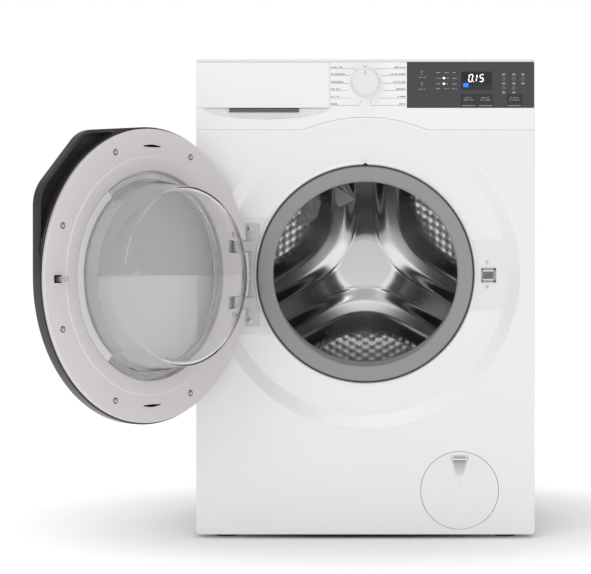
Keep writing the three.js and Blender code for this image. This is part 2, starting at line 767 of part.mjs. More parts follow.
function counterweights() {
  const ring = turned(
    [
      [COLLAR_R + 10, 60],
      [TUB_R - 12, 60],
      [TUB_R - 12, TUB_FRONT_Y - GAP],
      [COLLAR_R + 10, TUB_FRONT_Y - GAP],
    ],
    0,
    TUB_Z,
    FINE,
  );
  const lump = block(-50, 165, 110, 275, TUB_Z + 190, 822);
  const saddle = rodY(TUB_R + GAP, 100, 285, 0, TUB_Z, FINE);
  return [
    piece("counterweight_front", ring, finishes.concrete),
    piece("counterweight_top", cut(lump, saddle), finishes.concrete),
  ];
}

function bearings() {
  const ring = (name, y) =>
    piece(
      name,
      turned(
        [
          [SHAFT_R + GAP, y],
          [BEARING_R, y],
          [BEARING_R, y + BEARING_W],
          [SHAFT_R + GAP, y + BEARING_W],
        ],
        0,
        TUB_Z,
        28,
      ),
      finishes.steel,
    );
  return [ring("bearing_front", TUB_REAR_Y + 4), ring("bearing_rear", TUB_REAR_Y + 22)];
}

function motorHousing() {
  const body = turned(
    [
      [0, MOTOR_START],
      [MOTOR_R - 6, MOTOR_START],
      [MOTOR_R, MOTOR_START + 8],
      [MOTOR_R, MOTOR_END - 8],
      [MOTOR_R - 10, MOTOR_END],
      [5.5, MOTOR_END],
      [5.5, MOTOR_END - 45],
      [0, MOTOR_END - 45],
    ],
    0,
    MOTOR_Z,
    28,
  );
  const tubFoot = TUB_Z - TUB_R - 1.5;
  const lugs = [-1, 1].map((s) => {
    const x = s * 26;
    return block(x - 7, x + 7, MOTOR_START + 20, MOTOR_START + 90, MOTOR_Z + 30, tubFoot);
  });
  return piece("motor_housing", join(body, ...lugs), finishes.cast);
}

// The belt's outline about two pulleys, whose open sides are joined by straight runs.
function beltOutline(big, small, path) {
  const drop = TUB_Z - MOTOR_Z;
  const lean = Math.asin((big - small) / drop);
  path.absarc(0, TUB_Z, big, -lean, Math.PI + lean, false);
  path.absarc(0, MOTOR_Z, small, Math.PI + lean, 2 * Math.PI - lean, false);
  path.closePath();
  return path;
}

function driveBelt() {
  const inner = 2 * GAP;
  const outer = beltOutline(PULLEY_R + inner + BELT_T, MOTOR_PULLEY_R + inner + BELT_T, new THREE.Shape());
  const hole = beltOutline(PULLEY_R + inner, MOTOR_PULLEY_R + inner, new THREE.Shape());
  const y0 = PULLEY_Y + (PULLEY_W - BELT_W) / 2;
  const band = cut(plateY(outer, y0, y0 + BELT_W, 32), plateY(hole, y0 - 1, y0 + BELT_W + 1, 32));
  return piece("drive_belt", band, finishes.black);
}

function suspension() {
  return [
    ["left", -1],
    ["right", 1],
  ].flatMap(([side, s]) => {
    const rod = [
      [0, DAMPER_TOP - 80],
      [DAMPER_ROD_R, DAMPER_TOP - 80],
      [DAMPER_ROD_R, DAMPER_LUG - 16],
      [9, DAMPER_LUG - 14],
      [9, DAMPER_LUG - GAP],
      [0, DAMPER_LUG - GAP],
    ];
    const pot = [
      [0, PAN_BOTTOM + PAN_WALL + GAP],
      [DAMPER_R, PAN_BOTTOM + PAN_WALL + GAP],
      [DAMPER_R, DAMPER_TOP],
      [DAMPER_ROD_R + 1, DAMPER_TOP],
      [DAMPER_ROD_R + 1, DAMPER_TOP - 110],
      [0, DAMPER_TOP - 110],
    ];
    const turns = 6;
    const low = SPRING_LUG_TOP + GAP;
    const high = SPRING_TOP - GAP;
    const hook = 12;
    const pitch = (high - low - 2 * hook) / turns;
    const coil = [[0, low], [4, low], [4, low + hook]];
    for (let i = 0; i < turns; i += 1) {
      coil.push([SPRING_R, low + hook + pitch * (i + 0.25)]);
      coil.push([SPRING_R, low + hook + pitch * (i + 0.6)]);
      coil.push([SPRING_R - 4, low + hook + pitch * (i + 0.95)]);
    }
    coil.push([4, high - hook], [4, high], [0, high]);
    return [
      piece("damper_rod_" + side, turnedZ(rod, s * DAMPER_X, HANG_Y, SMALL), finishes.zinc),
      piece("damper_cylinder_" + side, turnedZ(pot, s * DAMPER_X, HANG_Y, SMALL), finishes.grey),
      piece("suspension_spring_" + side, turnedZ(coil, s * SPRING_X, HANG_Y, 8), finishes.zinc),
    ];
  });
}

function sprayNozzle() {
  const fin = plateY(
    polygon([
      [-58, TUB_Z + 140],
      [-46, TUB_Z + 112],
      [-36, TUB_Z + 108],
      [-18, TUB_Z + 140],
      [-14, TUB_Z + 162],
      [-60, TUB_Z + 152],
    ]),
    DRUM_FRONT_Y + 8,
    DRUM_FRONT_Y + 20,
    4,
  );
  const stem = block(-48, -28, TUB_FRONT_Y - 20, DRUM_FRONT_Y + 14, TUB_Z + 155, TUB_Z + 161);
  return piece("spray_nozzle", join(fin, stem), finishes.grey);
}

// ---- drum ----
function drumShell() {
  const outer = DRUM_R + DRUM_T;
  const y = DRUM_FRONT_Y;
  const end = DRUM_BACK_Y - GAP;
  const profile = [
    [DRUM_MOUTH_R, y + 3.5],
    [DRUM_MOUTH_R + 1, y + 1],
    [DRUM_MOUTH_R + 5, y],
    [outer - 9, y + 5.5],
    [outer, y + 15.5],
    [outer, end],
    [DRUM_R, end],
    [DRUM_R, y + 16],
    [outer - 9.7, y + 6.7],
    [DRUM_MOUTH_R + 5, y + DRUM_T],
    [DRUM_MOUTH_R + 2.2, y + 2.1],
    [DRUM_MOUTH_R + 1.2, y + 3.8],
  ];
  return piece("drum_shell", turned(profile, 0, TUB_Z, FINE), finishes.steel);
}

function drumBack() {
  const y = DRUM_BACK_Y;
  const profile = [
    [0, y],
    [DRUM_R + DRUM_T, y],
    [DRUM_R + DRUM_T, y + DRUM_T],
    [0, y + DRUM_T],
  ];
  return piece("drum_back", turned(profile, 0, TUB_Z, FINE), finishes.steel);
}

const ARM_ANGLES = [90, 210, 330];

function drumSpider() {
  const y0 = DRUM_BACK_Y + DRUM_T + GAP;
  const hub = rodY(42, y0, y0 + 18, 0, TUB_Z, 28);
  const arms = ARM_ANGLES.map((angle) => {
    const a = THREE.MathUtils.degToRad(angle);
    const shape = polygon([
      [0, -24],
      [DRUM_R - 6, -13],
      [DRUM_R - 6, 13],
      [0, 24],
    ]);
    const options = { depth: 14, bevelEnabled: false };
    const arm = new THREE.ExtrudeGeometry(shape, options).rotateZ(a);
    return solid(arm.rotateX(Math.PI / 2).translate(0, y0 + 14, TUB_Z));
  });
  const bore = rodY(SHAFT_R + GAP, y0 + 4, y0 + 30, 0, TUB_Z, 28);
  return piece("drum_spider", cut(join(hub, ...arms), bore), finishes.cast);
}

function drumShaft() {
  const start = DRUM_BACK_Y + DRUM_T + GAP + 4 + GAP;
  return piece("drum_shaft", rodY(SHAFT_R, start, PULLEY_Y + PULLEY_W + 4, 0, TUB_Z, 28), finishes.steel);
}

function lifters() {
  return [270, 30, 150].map((angle, i) => {
    const base = DRUM_R - 3.5;
    const top = DRUM_R - 3 - LIFTER_H;
    const half = LIFTER_W / 2;
    const shape = polygon([
      [base, -half],
      [base, half],
      [base - 10, half - 6],
      [top + 6, 15],
      [top, 9],
      [top, -9],
      [top + 6, -15],
      [base - 10, 6 - half],
    ]);
    const options = { depth: LIFTER_END - LIFTER_START, bevelEnabled: false };
    const ridge = new THREE.ExtrudeGeometry(shape, options).rotateZ(THREE.MathUtils.degToRad(angle));
    return piece("lifter_" + (i + 1), solid(ridge.rotateX(Math.PI / 2).translate(0, LIFTER_END, TUB_Z)), finishes.grey);
  });
}

function drumPulley() {
  const y0 = PULLEY_Y;
  const y1 = PULLEY_Y + PULLEY_W;
  const rim = turned(
    [
      [PULLEY_R - 8, y0],
      [PULLEY_R, y0],
      [PULLEY_R, y1],
      [PULLEY_R - 8, y1],
    ],
    0,
    TUB_Z,
    FINE,
  );
  const hub = rodY(26, y0, y1, 0, TUB_Z, 28);
  const spokes = [0, 1, 2, 3, 4, 5].map((i) => {
    const spoke = new THREE.BoxGeometry(PULLEY_R - 12, 5, 16).translate((PULLEY_R - 4) / 2, 0, 0);
    return solid(spoke.rotateY((i * Math.PI) / 3).translate(0, (y0 + y1) / 2, TUB_Z));
  });
  const bore = rodY(SHAFT_R + GAP, y0 - 1, y1 + 1, 0, TUB_Z, 28);
  return piece("drum_pulley", cut(join(rim, hub, ...spokes), bore), finishes.cast);
}

function motorPulley() {
  const profile = [
    [0, MOTOR_END - 40],
    [5, MOTOR_END - 40],
    [5, PULLEY_Y],
    [MOTOR_PULLEY_R, PULLEY_Y],
    [MOTOR_PULLEY_R, PULLEY_Y + PULLEY_W],
    [0, PULLEY_Y + PULLEY_W],
  ];
  return piece("motor_pulley", turned(profile, 0, MOTOR_Z, SMALL), finishes.steel);
}

// ---- door, drawn closed ----
// Middle of a fillet between two sides of the corner, each given by its normal's angle and its reach.
function filletMiddle(fillet, a, reachA, b, reachB) {
  const [da, db] = [reachA - fillet, reachB - fillet];
  const turn = Math.sin(b - a);
  const x = (da * Math.sin(b) - db * Math.sin(a)) / turn;
  const z = (db * Math.cos(a) - da * Math.cos(b)) / turn;
  return [x, DOOR_Z + z];
}

// The handle corner, up and away from the hinge: an upright side, a cut corner and a top side that
// meets the round at a tangent.
function handleCorner(inset) {
  const r = COVER_R - inset;
  const fillet = CORNER_FILLET - inset;
  const chamfer = COVER_R + CORNER_OVERHANG - inset;
  const cut45 = Math.PI / 4;
  const top = THREE.MathUtils.degToRad(90 - CORNER_TILT);
  const low = filletMiddle(fillet, 0, r, cut45, chamfer);
  const high = filletMiddle(fillet, cut45, chamfer, top, r);
  const shape = new THREE.Shape();
  shape.moveTo(0, DOOR_Z);
  shape.lineTo(r, DOOR_Z);
  shape.absarc(low[0], low[1], fillet, 0, cut45, false);
  shape.absarc(high[0], high[1], fillet, cut45, top, false);
  shape.lineTo(r * Math.cos(top), DOOR_Z + r * Math.sin(top));
  return shape;
}

function hingeSlots() {
  return EAR_Z.map((z) =>
    block(-COVER_R - 2, -190, -COVER_T + COVER_SKIN + 0.1, 12, z - SLOT_H / 2, z + SLOT_H / 2),
  );
}

function doorCover() {
  const slab = plateY(handleCorner(0), -COVER_T, -CORNER_BACK, 8);
  const round = rodY(COVER_R, -COVER_T, 0, 0, DOOR_Z, FINE);
  const hollow = rodY(COVER_R - COVER_WALL, -COVER_T + COVER_SKIN, 1, 0, DOOR_Z, FINE);
  const window = rodY(WINDOW_R + 0.5, -COVER_T - 1, 1, 0, DOOR_Z, FINE);
  const rim = rodY(COVER_R + 1.5, -COVER_T, 1, 0, DOOR_Z, FINE);
  const grip = cut(plateY(handleCorner(6), -COVER_T + 5, 0, 8), rim);
  const slots = EAR_Z.map((z) =>
    block(-COVER_R - 2, -232, -COVER_T + COVER_SKIN, 2, z - SLOT_H / 2, z + SLOT_H / 2),
  );
  return piece("door_cover", cut(join(slab, round), hollow, window, grip, ...slots, ...armBoxes(GAP)), finishes.cover);
}

function doorWindow() {
  return piece("door_window", rodY(WINDOW_R, -COVER_T, -COVER_T + 3, 0, DOOR_Z, FINE), finishes.glass);
}

function doorInnerRing() {
  const profile = [
    [RING_R, GAP],
    [RING_R, RING_FACE - 1.5],
    [RING_R - 1.5, RING_FACE],
    [RING_STEP_R + 1.5, RING_FACE],
    [RING_STEP_R, RING_RAISED],
    [RING_HOLE_R + 2, RING_RAISED],
    [RING_HOLE_R, RING_RAISED - 1.2],
    [RING_HOLE_R, -COVER_T + 6],
    [RING_HOLE_R + 3, -COVER_T + 6],
    [RING_HOLE_R + 3, RING_FACE - 3],
    [RING_R - 3, RING_FACE - 3],
    [RING_R - 3, GAP],
  ];
  const ring = turned(profile, 0, DOOR_Z, FINE);
  const hookSlot = block(LOCK_X - 11, LOCK_X + 7, 0, 12, LOCK_Z - 6.5, LOCK_Z + 6.5);
  return piece("door_inner_ring", cut(ring, hookSlot, ...hingeSlots()), finishes.ring);
}

function doorGlassBowl() {
  const w = BOWL_WALL;
  const end = BOWL_DEPTH;
  const profile = [
    [BOWL_FLANGE_R, -2],
    [BOWL_FLANGE_R, 3],
    [BOWL_R + 1.7, 5],
    [BOWL_R, 12],
    [BOWL_END_R, end - 16],
    [BOWL_END_R - 4, end - 6],
    [BOWL_END_R - 14, end],
    [0, end + 2],
    [0, end + 2 - w],
    [BOWL_END_R - 16, end - w],
    [BOWL_END_R - 8.5, end - 9.5],
    [BOWL_END_R - w, end - 17],
    [BOWL_R - w, 11],
    [BOWL_R - w + 1.7, 3],
    [BOWL_R - w + 1.7, -2],
  ];
  const start = profile.findIndex(([r]) => r === 0);
  const ordered = [...profile.slice(start + 1), ...profile.slice(0, start + 1)];
  return piece("door_glass_bowl", turned(ordered, 0, DOOR_Z, FINE), finishes.glass);
}

function armBoxes(clear) {
  const [low, high] = [EAR_Z[0] - EAR_H / 2, EAR_Z[1] + EAR_H / 2];
  const back = -COVER_T + COVER_SKIN + 0.8 - clear;
  const end = -196 + clear;
  const plate = block(HINGE_X + 6.5 - clear, end, back, back + 2 + 2 * clear, low - 14 - clear, high + 14 + clear);
  const spans = EAR_Z.flatMap((z) => [
    [z - EAR_H / 2 - 6.5, z - EAR_H / 2 - 1.5],
    [z + EAR_H / 2 + 1.5, z + EAR_H / 2 + 6.5],
  ]);
  const lugs = spans.map(([z0, z1]) =>
    block(HINGE_X - 1 - clear, HINGE_X + 8 + clear, back, HINGE_Y + 1 + clear, z0 - clear, z1 + clear),
  );
  return [plate, ...lugs];
}

function hingeArm() {
  const [low, high] = [EAR_Z[0] - EAR_H / 2, EAR_Z[1] + EAR_H / 2];
  const pin = rodZ(PIN_R, low - 6, high + 6, HINGE_X, HINGE_Y, SMALL);
  const [plate, ...lugs] = armBoxes(0);
  return piece("hinge_arm", join(plate, pin, ...lugs), finishes.zinc);
}

function doorHook() {
  const x = LOCK_X - 7;
  const shank = block(x, x + HOOK_W, -4, RING_FACE + 19, LOCK_Z - 4, LOCK_Z + 4);
  const nose = block(x, x + HOOK_W + 4, RING_FACE + 14, RING_FACE + 20, LOCK_Z - 4, LOCK_Z + 4);
  return piece("door_hook", join(shank, nose), finishes.zinc);
}

// ---- assembly ----
const machine = new THREE.Group();
machine.position.set(FOOT_X, -FOOT_FRONT_Y, 0);
machine.add(cabinetShell(), backPanel(), basePan(), ...feet(), frontPanel(), worktop(), crossbeam());
machine.add(controlFascia(), displayPanel(), ...keys(), controlUnit(), programmeKnob());
machine.add(drawerFront(), drawerTray(), dispenserHousing());
machine.add(inletValve(), powerInlet(), drainOutlet());
machine.add(filterFlap(), pumpFilter(), pumpHousing());
machine.add(doorSeal(), hingeBracket(), doorLock(), sprayNozzle());
machine.add(tubFront(), tubRear(), heater(), ...counterweights(), ...bearings(), motorHousing(), driveBelt());
machine.add(...suspension());
machine.add(drumShell(), drumBack(), drumSpider(), drumShaft(), ...lifters(), drumPulley(), motorPulley());

// The door stands open: it is turned about its hinge pin.
const door = new THREE.Group();
door.position.set(HINGE_X, HINGE_Y, 0);
door.rotation.z = -THREE.MathUtils.degToRad(DOOR_OPEN);
for (const mesh of [doorCover(), doorWindow(), doorInnerRing(), doorGlassBowl(), hingeArm(), doorHook()]) {
  mesh.position.set(-HINGE_X, -HINGE_Y, 0);
  door.add(mesh);
}
machine.add(door);

const root = new THREE.Group();
root.add(machine);
export default root;
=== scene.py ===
"""Front load washing machine: the visible surfaces, finishes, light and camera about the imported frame.

Lengths are millimetres about the cabinet's middle, its front plane and the floor, with +Z up and the
front towards -Y. Bench.place turns them into the frame's metres.
"""

from __future__ import annotations

import json
import logging
import math
from dataclasses import dataclass, field
from enum import Enum
from typing import Any, Iterable, Sequence

import bmesh
import bpy
import numpy as np
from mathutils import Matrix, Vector

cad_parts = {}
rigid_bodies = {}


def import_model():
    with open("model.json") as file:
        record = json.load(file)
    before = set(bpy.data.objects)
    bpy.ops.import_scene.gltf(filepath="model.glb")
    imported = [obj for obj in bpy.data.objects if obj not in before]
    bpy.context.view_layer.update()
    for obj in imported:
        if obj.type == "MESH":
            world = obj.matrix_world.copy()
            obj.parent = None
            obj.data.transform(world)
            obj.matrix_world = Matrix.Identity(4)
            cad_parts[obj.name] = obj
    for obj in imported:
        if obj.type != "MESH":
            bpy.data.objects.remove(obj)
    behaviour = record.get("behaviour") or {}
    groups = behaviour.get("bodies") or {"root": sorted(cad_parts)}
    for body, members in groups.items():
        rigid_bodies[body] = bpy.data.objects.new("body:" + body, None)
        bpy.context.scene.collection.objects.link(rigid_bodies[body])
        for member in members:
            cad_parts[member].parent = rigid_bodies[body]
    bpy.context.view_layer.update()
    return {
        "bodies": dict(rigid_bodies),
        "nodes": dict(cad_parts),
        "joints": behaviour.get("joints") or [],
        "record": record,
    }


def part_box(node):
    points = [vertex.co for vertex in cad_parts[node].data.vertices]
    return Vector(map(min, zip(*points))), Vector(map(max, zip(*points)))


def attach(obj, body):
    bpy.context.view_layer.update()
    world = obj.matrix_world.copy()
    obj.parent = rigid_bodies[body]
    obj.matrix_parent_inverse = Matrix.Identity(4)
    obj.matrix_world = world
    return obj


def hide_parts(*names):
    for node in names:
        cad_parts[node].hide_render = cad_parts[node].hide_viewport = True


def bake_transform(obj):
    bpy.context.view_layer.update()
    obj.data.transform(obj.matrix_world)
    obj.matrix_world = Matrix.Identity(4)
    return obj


LOG = logging.getLogger("washing_machine")
MM = 0.001
Outline = np.ndarray


# ---------------------------------------------------------------- surfaces
@dataclass
class Surface:
    """A mesh in millimetres: corners, faces as index tuples, and one (u, v) per face corner or none."""

    points: np.ndarray
    faces: list[tuple[int, ...]]
    uv: np.ndarray | None = None

    @staticmethod
    def joined(parts: Iterable["Surface"]) -> "Surface":
        """One surface from several, without texture coordinates."""
        points: list[np.ndarray] = []
        faces: list[tuple[int, ...]] = []
        count = 0
        for part in parts:
            points.append(part.points)
            faces += [tuple(i + count for i in face) for face in part.faces]
            count += len(part.points)
        return Surface(np.concatenate(points), faces)


class Plane(Enum):
    """Which two axes a flat outline is drawn on; it gains thickness along the third."""

    XZ = (0, 2, 1)
    XY = (0, 1, 2)
    YZ = (1, 2, 0)


def grid(points: np.ndarray, wrap_u: bool = True, wrap_v: bool = True) -> Surface:
    """Quads over a (nu, nv, 3) grid of points, joined end to end where it wraps.

    Args:
        points: the grid, each entry a point in space.
        wrap_u: whether the last row of the first index joins the first.
        wrap_v: whether the last row of the second index joins the first.

    Returns:
        The surface, with (u, v) counted in grid steps.
    """
    nu, nv = points.shape[:2]
    i, j = np.meshgrid(
        np.arange(nu if wrap_u else nu - 1), np.arange(nv if wrap_v else nv - 1), indexing="ij"
    )
    i, j = i.ravel(), j.ravel()
    i2, j2 = (i + 1) % nu, (j + 1) % nv
    quads = np.stack([i * nv + j, i2 * nv + j, i2 * nv + j2, i * nv + j2], axis=1)
    uv = np.stack([i, j, i + 1, j, i + 1, j + 1, i, j + 1], axis=1).reshape(-1, 2).astype(float)
    return Surface(points.reshape(-1, 3), [tuple(q) for q in quads.tolist()], uv)


def filleted(points: Sequence[Sequence[float]], radius: Any, closed: bool = True, steps: int = 6) -> Outline:
    """A run of points with each corner replaced by an arc tangent to both its sides.

    Args:
        points: the corners, in order.
        radius: one radius for all corners, or one for each; 0 keeps a corner sharp.
        closed: whether the last point joins the first.
        steps: chords in each arc.

    Returns:
        The points of the rounded run.
    """
    p = np.asarray(points, float)
    n = len(p)
    radii = np.broadcast_to(np.asarray(radius, float), n)
    out: list[np.ndarray] = []
    for i in range(n):
        if radii[i] <= 0 or (not closed and i in (0, n - 1)):
            out.append(p[i][None])
            continue
        a, b = p[i - 1] - p[i], p[(i + 1) % n] - p[i]
        la, lb = np.linalg.norm(a), np.linalg.norm(b)
        a, b = a / la, b / lb
        half = math.acos(float(np.clip(a @ b, -0.9999, 0.9999))) / 2
        reach = min(radii[i] / math.tan(half), 0.49 * la, 0.49 * lb)
        middle = p[i] + (a + b) / np.linalg.norm(a + b) * reach / math.cos(half)
        start, end = p[i] + a * reach - middle, p[i] + b * reach - middle
        turn = math.pi - 2 * half
        s = np.linspace(0, 1, steps + 1)[:, None]
        out.append(middle + (np.sin((1 - s) * turn) * start + np.sin(s * turn) * end) / math.sin(turn))
    return np.concatenate(out)


def offset(outline: Outline, distance: float, closed: bool = True) -> Outline:
    """The outline moved sideways, to the left of its direction, by a distance."""
    if closed:
        before, after = np.roll(outline, 1, axis=0), np.roll(outline, -1, axis=0)
    else:
        before = np.vstack([outline[:1], outline[:-1]])
        after = np.vstack([outline[1:], outline[-1:]])
    along = after - before
    along = along / np.maximum(np.linalg.norm(along, axis=1, keepdims=True), 1e-9)
    return outline + np.stack([-along[:, 1], along[:, 0]], axis=1) * distance


def anticlockwise(outline: Outline) -> Outline:
    """The outline in the order that has its inside on the left."""
    x, y = outline[:, 0], outline[:, 1]
    area = np.sum(x * np.roll(y, -1) - y * np.roll(x, -1))
    return outline if area > 0 else outline[::-1]


def wall(run: Outline, thickness: float) -> Outline:
    """A closed profile of even thickness along an open run of points."""
    return np.vstack([offset(run, thickness / 2, False), offset(run, -thickness / 2, False)[::-1]])


def revolved(profile: Outline, x: float, z: float, steps: int = 192, closed: bool = True) -> Surface:
    """A profile of (radius, y) turned about the line through (x, z) along Y.

    Each point is (x + r cos a, y, z + r sin a) for angles a all round.
    """
    a = np.linspace(0, 2 * math.pi, steps, endpoint=False)[:, None]
    r, y = profile[None, :, 0], profile[None, :, 1]
    points = np.stack(
        [x + r * np.cos(a), np.broadcast_to(y, (steps, len(profile))), z + r * np.sin(a)], axis=2
    )
    return grid(points, True, closed)


def turned_upright(profile: Outline, x: float, y: float, steps: int = 64) -> Surface:
    """A closed profile of (radius, z) turned about the upright line through (x, y)."""
    a = np.linspace(0, 2 * math.pi, steps, endpoint=False)[:, None]
    r, z = profile[None, :, 0], profile[None, :, 1]
    points = np.stack(
        [x + r * np.cos(a), y + r * np.sin(a), np.broadcast_to(z, (steps, len(profile)))], axis=2
    )
    return grid(points, True, True)


def slab(outline: Outline, low: float, high: float, edge: float = 0.0, plane: Plane = Plane.XZ) -> Surface:
    """A flat shape with thickness, its rims rounded by quarter circles of radius edge.

    Rows run from the low face, inset by the radius, round the rim to the high face; both faces are capped.
    """
    ring = anticlockwise(outline)
    edge = min(edge, (high - low) / 2)
    t = np.linspace(0, math.pi / 2, 5) if edge > 0 else np.zeros(1)
    insets = np.concatenate([edge * (1 - np.sin(t)), edge * (1 - np.sin(t[::-1]))])
    levels = np.concatenate([low + edge * (1 - np.cos(t)), high - edge * (1 - np.cos(t[::-1]))])
    rows = [offset(ring, inset) for inset in insets]
    n, m = len(ring), len(rows)
    points = np.zeros((m, n, 3))
    first, second, third = plane.value
    for k, (row, level) in enumerate(zip(rows, levels)):
        points[k, :, first], points[k, :, second], points[k, :, third] = row[:, 0], row[:, 1], level
    body = grid(points, False, True)
    caps = [tuple(range(n)), tuple(range((m - 1) * n, m * n))]
    return Surface(body.points, body.faces + caps)


def rectangle(x0: float, x1: float, z0: float, z1: float, radius: float = 0.0, steps: int = 5) -> Outline:
    """A rectangle with rounded corners."""
    return filleted([(x0, z0), (x1, z0), (x1, z1), (x0, z1)], radius, True, steps)


def disc(x: float, z: float, r: float, steps: int = 32) -> Outline:
    """A circle of points."""
    a = np.linspace(0, 2 * math.pi, steps, endpoint=False)
    return np.stack([x + r * np.cos(a), z + r * np.sin(a)], axis=1)


def arc(r: float, start: float, end: float, z: float, steps: int = 24) -> Outline:
    """Points on a circle about (0, z) between two angles in radians."""
    a = np.linspace(start, end, steps)
    return np.stack([r * np.cos(a), z + r * np.sin(a)], axis=1)


def piped(path: np.ndarray, radius: float, sides: int = 10) -> Surface:
    """A round rod along a path of points, closed at both ends.

    Each section is a circle square to the path, its first axis held level where it can be.
    """
    along = np.gradient(path, axis=0)
    along /= np.linalg.norm(along, axis=1, keepdims=True)
    up = np.where(np.abs(along[:, 2:]) > 0.9, [[1.0, 0.0, 0.0]], [[0.0, 0.0, 1.0]])
    side = np.cross(along, up)
    side /= np.linalg.norm(side, axis=1, keepdims=True)
    other = np.cross(along, side)
    a = np.linspace(0, 2 * math.pi, sides, endpoint=False)[None, :, None]
    rings = path[:, None] + radius * (np.cos(a) * side[:, None] + np.sin(a) * other[:, None])
    body = grid(rings, False, True)
    last = (len(path) - 1) * sides
    return Surface(body.points, body.faces + [tuple(range(sides)), tuple(range(last, last + sides))])


def smoothstep(low: float, high: float, value: np.ndarray) -> np.ndarray:
    """0 below low, 1 above high, and an even S between them."""
    t = np.clip((value - low) / (high - low), 0, 1)
    return t * t * (3 - 2 * t)


# ---------------------------------------------------------------- finishes
def linear(colour: Sequence[float]) -> tuple[float, float, float, float]:
    """A display colour with parts from 0 to 1 as linear light."""
    c = np.asarray(colour, float)
    light = np.where(c <= 0.04045, c / 12.92, ((c + 0.055) / 1.055) ** 2.4)
    return (float(light[0]), float(light[1]), float(light[2]), 1.0)


class Textures:
    """The node groups that several finishes share, each built once."""

    def __init__(self) -> None:
        """Makes the grain, brushing and perforation groups."""
        self.grain = self._grain()
        self.brushing = self._brushing()
        self.holes = self._holes()

    @staticmethod
    def _group(name: str, inputs: dict[str, Any], outputs: dict[str, str]) -> tuple[Any, Any, Any]:
        """An empty group with its sockets; returns the tree, its input node and its output node."""
        tree = bpy.data.node_groups.new(name, "ShaderNodeTree")
        for label, default in inputs.items():
            kind = "NodeSocketVector" if default is None else "NodeSocketFloat"
            socket = tree.interface.new_socket(label, in_out="INPUT", socket_type=kind)
            if default is not None:
                socket.default_value = default
        for label, kind in outputs.items():
            tree.interface.new_socket(label, in_out="OUTPUT", socket_type=kind)
        return tree, tree.nodes.new("NodeGroupInput"), tree.nodes.new("NodeGroupOutput")

    def _grain(self) -> Any:
        """Moulded or painted skin: a fine noise for bump and a broad one for tone."""
        tree, given, result = self._group(
            "skin_grain",
            {"Vector": None, "Scale": 900.0, "Depth": 0.1, "Tone": 0.02},
            {"Tone": "NodeSocketFloat", "Normal": "NodeSocketVector"},
        )
        link = tree.links.new
        fine = tree.nodes.new("ShaderNodeTexNoise")
        fine.inputs["Detail"].default_value = 3.0
        broad = tree.nodes.new("ShaderNodeTexNoise")
        broad.inputs["Scale"].default_value = 9.0
        bump = tree.nodes.new("ShaderNodeBump")
        bump.inputs["Distance"].default_value = 0.0002
        swing = tree.nodes.new("ShaderNodeMath")
        swing.operation = "MULTIPLY_ADD"
        link(given.outputs["Vector"], fine.inputs["Vector"])
        link(given.outputs["Vector"], broad.inputs["Vector"])
        link(given.outputs["Scale"], fine.inputs["Scale"])
        link(fine.outputs["Fac"], bump.inputs["Height"])
        link(given.outputs["Depth"], bump.inputs["Strength"])
        link(broad.outputs["Fac"], swing.inputs[0])
        link(given.outputs["Tone"], swing.inputs[1])
        swing.inputs[2].default_value = 1.0
        link(swing.outputs[0], result.inputs["Tone"])
        link(bump.outputs["Normal"], result.inputs["Normal"])
        return tree

    def _brushing(self) -> Any:
        """Rolled or brushed metal: noise drawn out along one axis."""
        tree, given, result = self._group(
            "metal_brushing",
            {"Vector": None, "Scale": 500.0, "Depth": 0.1, "Spread": 0.1, "Roughness": 0.3},
            {"Roughness": "NodeSocketFloat", "Normal": "NodeSocketVector"},
        )
        link = tree.links.new
        stretch = tree.nodes.new("ShaderNodeVectorMath")
        stretch.operation = "MULTIPLY"
        stretch.inputs[1].default_value = (1.0, 0.03, 1.0)
        noise = tree.nodes.new("ShaderNodeTexNoise")
        noise.inputs["Detail"].default_value = 4.0
        bump = tree.nodes.new("ShaderNodeBump")
        bump.inputs["Distance"].default_value = 0.0001
        spread = tree.nodes.new("ShaderNodeMath")
        spread.operation = "MULTIPLY_ADD"
        link(given.outputs["Vector"], stretch.inputs[0])
        link(stretch.outputs[0], noise.inputs["Vector"])
        link(given.outputs["Scale"], noise.inputs["Scale"])
        link(noise.outputs["Fac"], bump.inputs["Height"])
        link(given.outputs["Depth"], bump.inputs["Strength"])
        link(noise.outputs["Fac"], spread.inputs[0])
        link(given.outputs["Spread"], spread.inputs[1])
        link(given.outputs["Roughness"], spread.inputs[2])
        link(spread.outputs[0], result.inputs["Roughness"])
        link(bump.outputs["Normal"], result.inputs["Normal"])
        return tree

    def _holes(self) -> Any:
        """Round holes in staggered rows: 1 inside a hole and 0 between, from the piece's own UV map."""
        tree, given, result = self._group(
            "drum_holes", {"Vector": None, "Radius": 0.2}, {"Mask": "NodeSocketFloat"}
        )
        link = tree.links.new
        masks = []
        for shift in ((0.0, 0.0, 0.0), (0.5, 0.5, 0.0)):
            move = tree.nodes.new("ShaderNodeVectorMath")
            move.operation = "ADD"
            move.inputs[1].default_value = shift
            share = tree.nodes.new("ShaderNodeVectorMath")
            share.operation = "FRACTION"
            away = tree.nodes.new("ShaderNodeVectorMath")
            away.operation = "DISTANCE"
            away.inputs[1].default_value = (0.5, 0.5, 0.0)
            inside = tree.nodes.new("ShaderNodeMath")
            inside.operation = "LESS_THAN"
            link(given.outputs["Vector"], move.inputs[0])
            link(move.outputs[0], share.inputs[0])
            link(share.outputs[0], away.inputs[0])
            link(away.outputs["Value"], inside.inputs[0])
            link(given.outputs["Radius"], inside.inputs[1])
            masks.append(inside)
        either = tree.nodes.new("ShaderNodeMath")
        either.operation = "MAXIMUM"
        link(masks[0].outputs[0], either.inputs[0])
        link(masks[1].outputs[0], either.inputs[1])
        link(either.outputs[0], result.inputs["Mask"])
        return tree


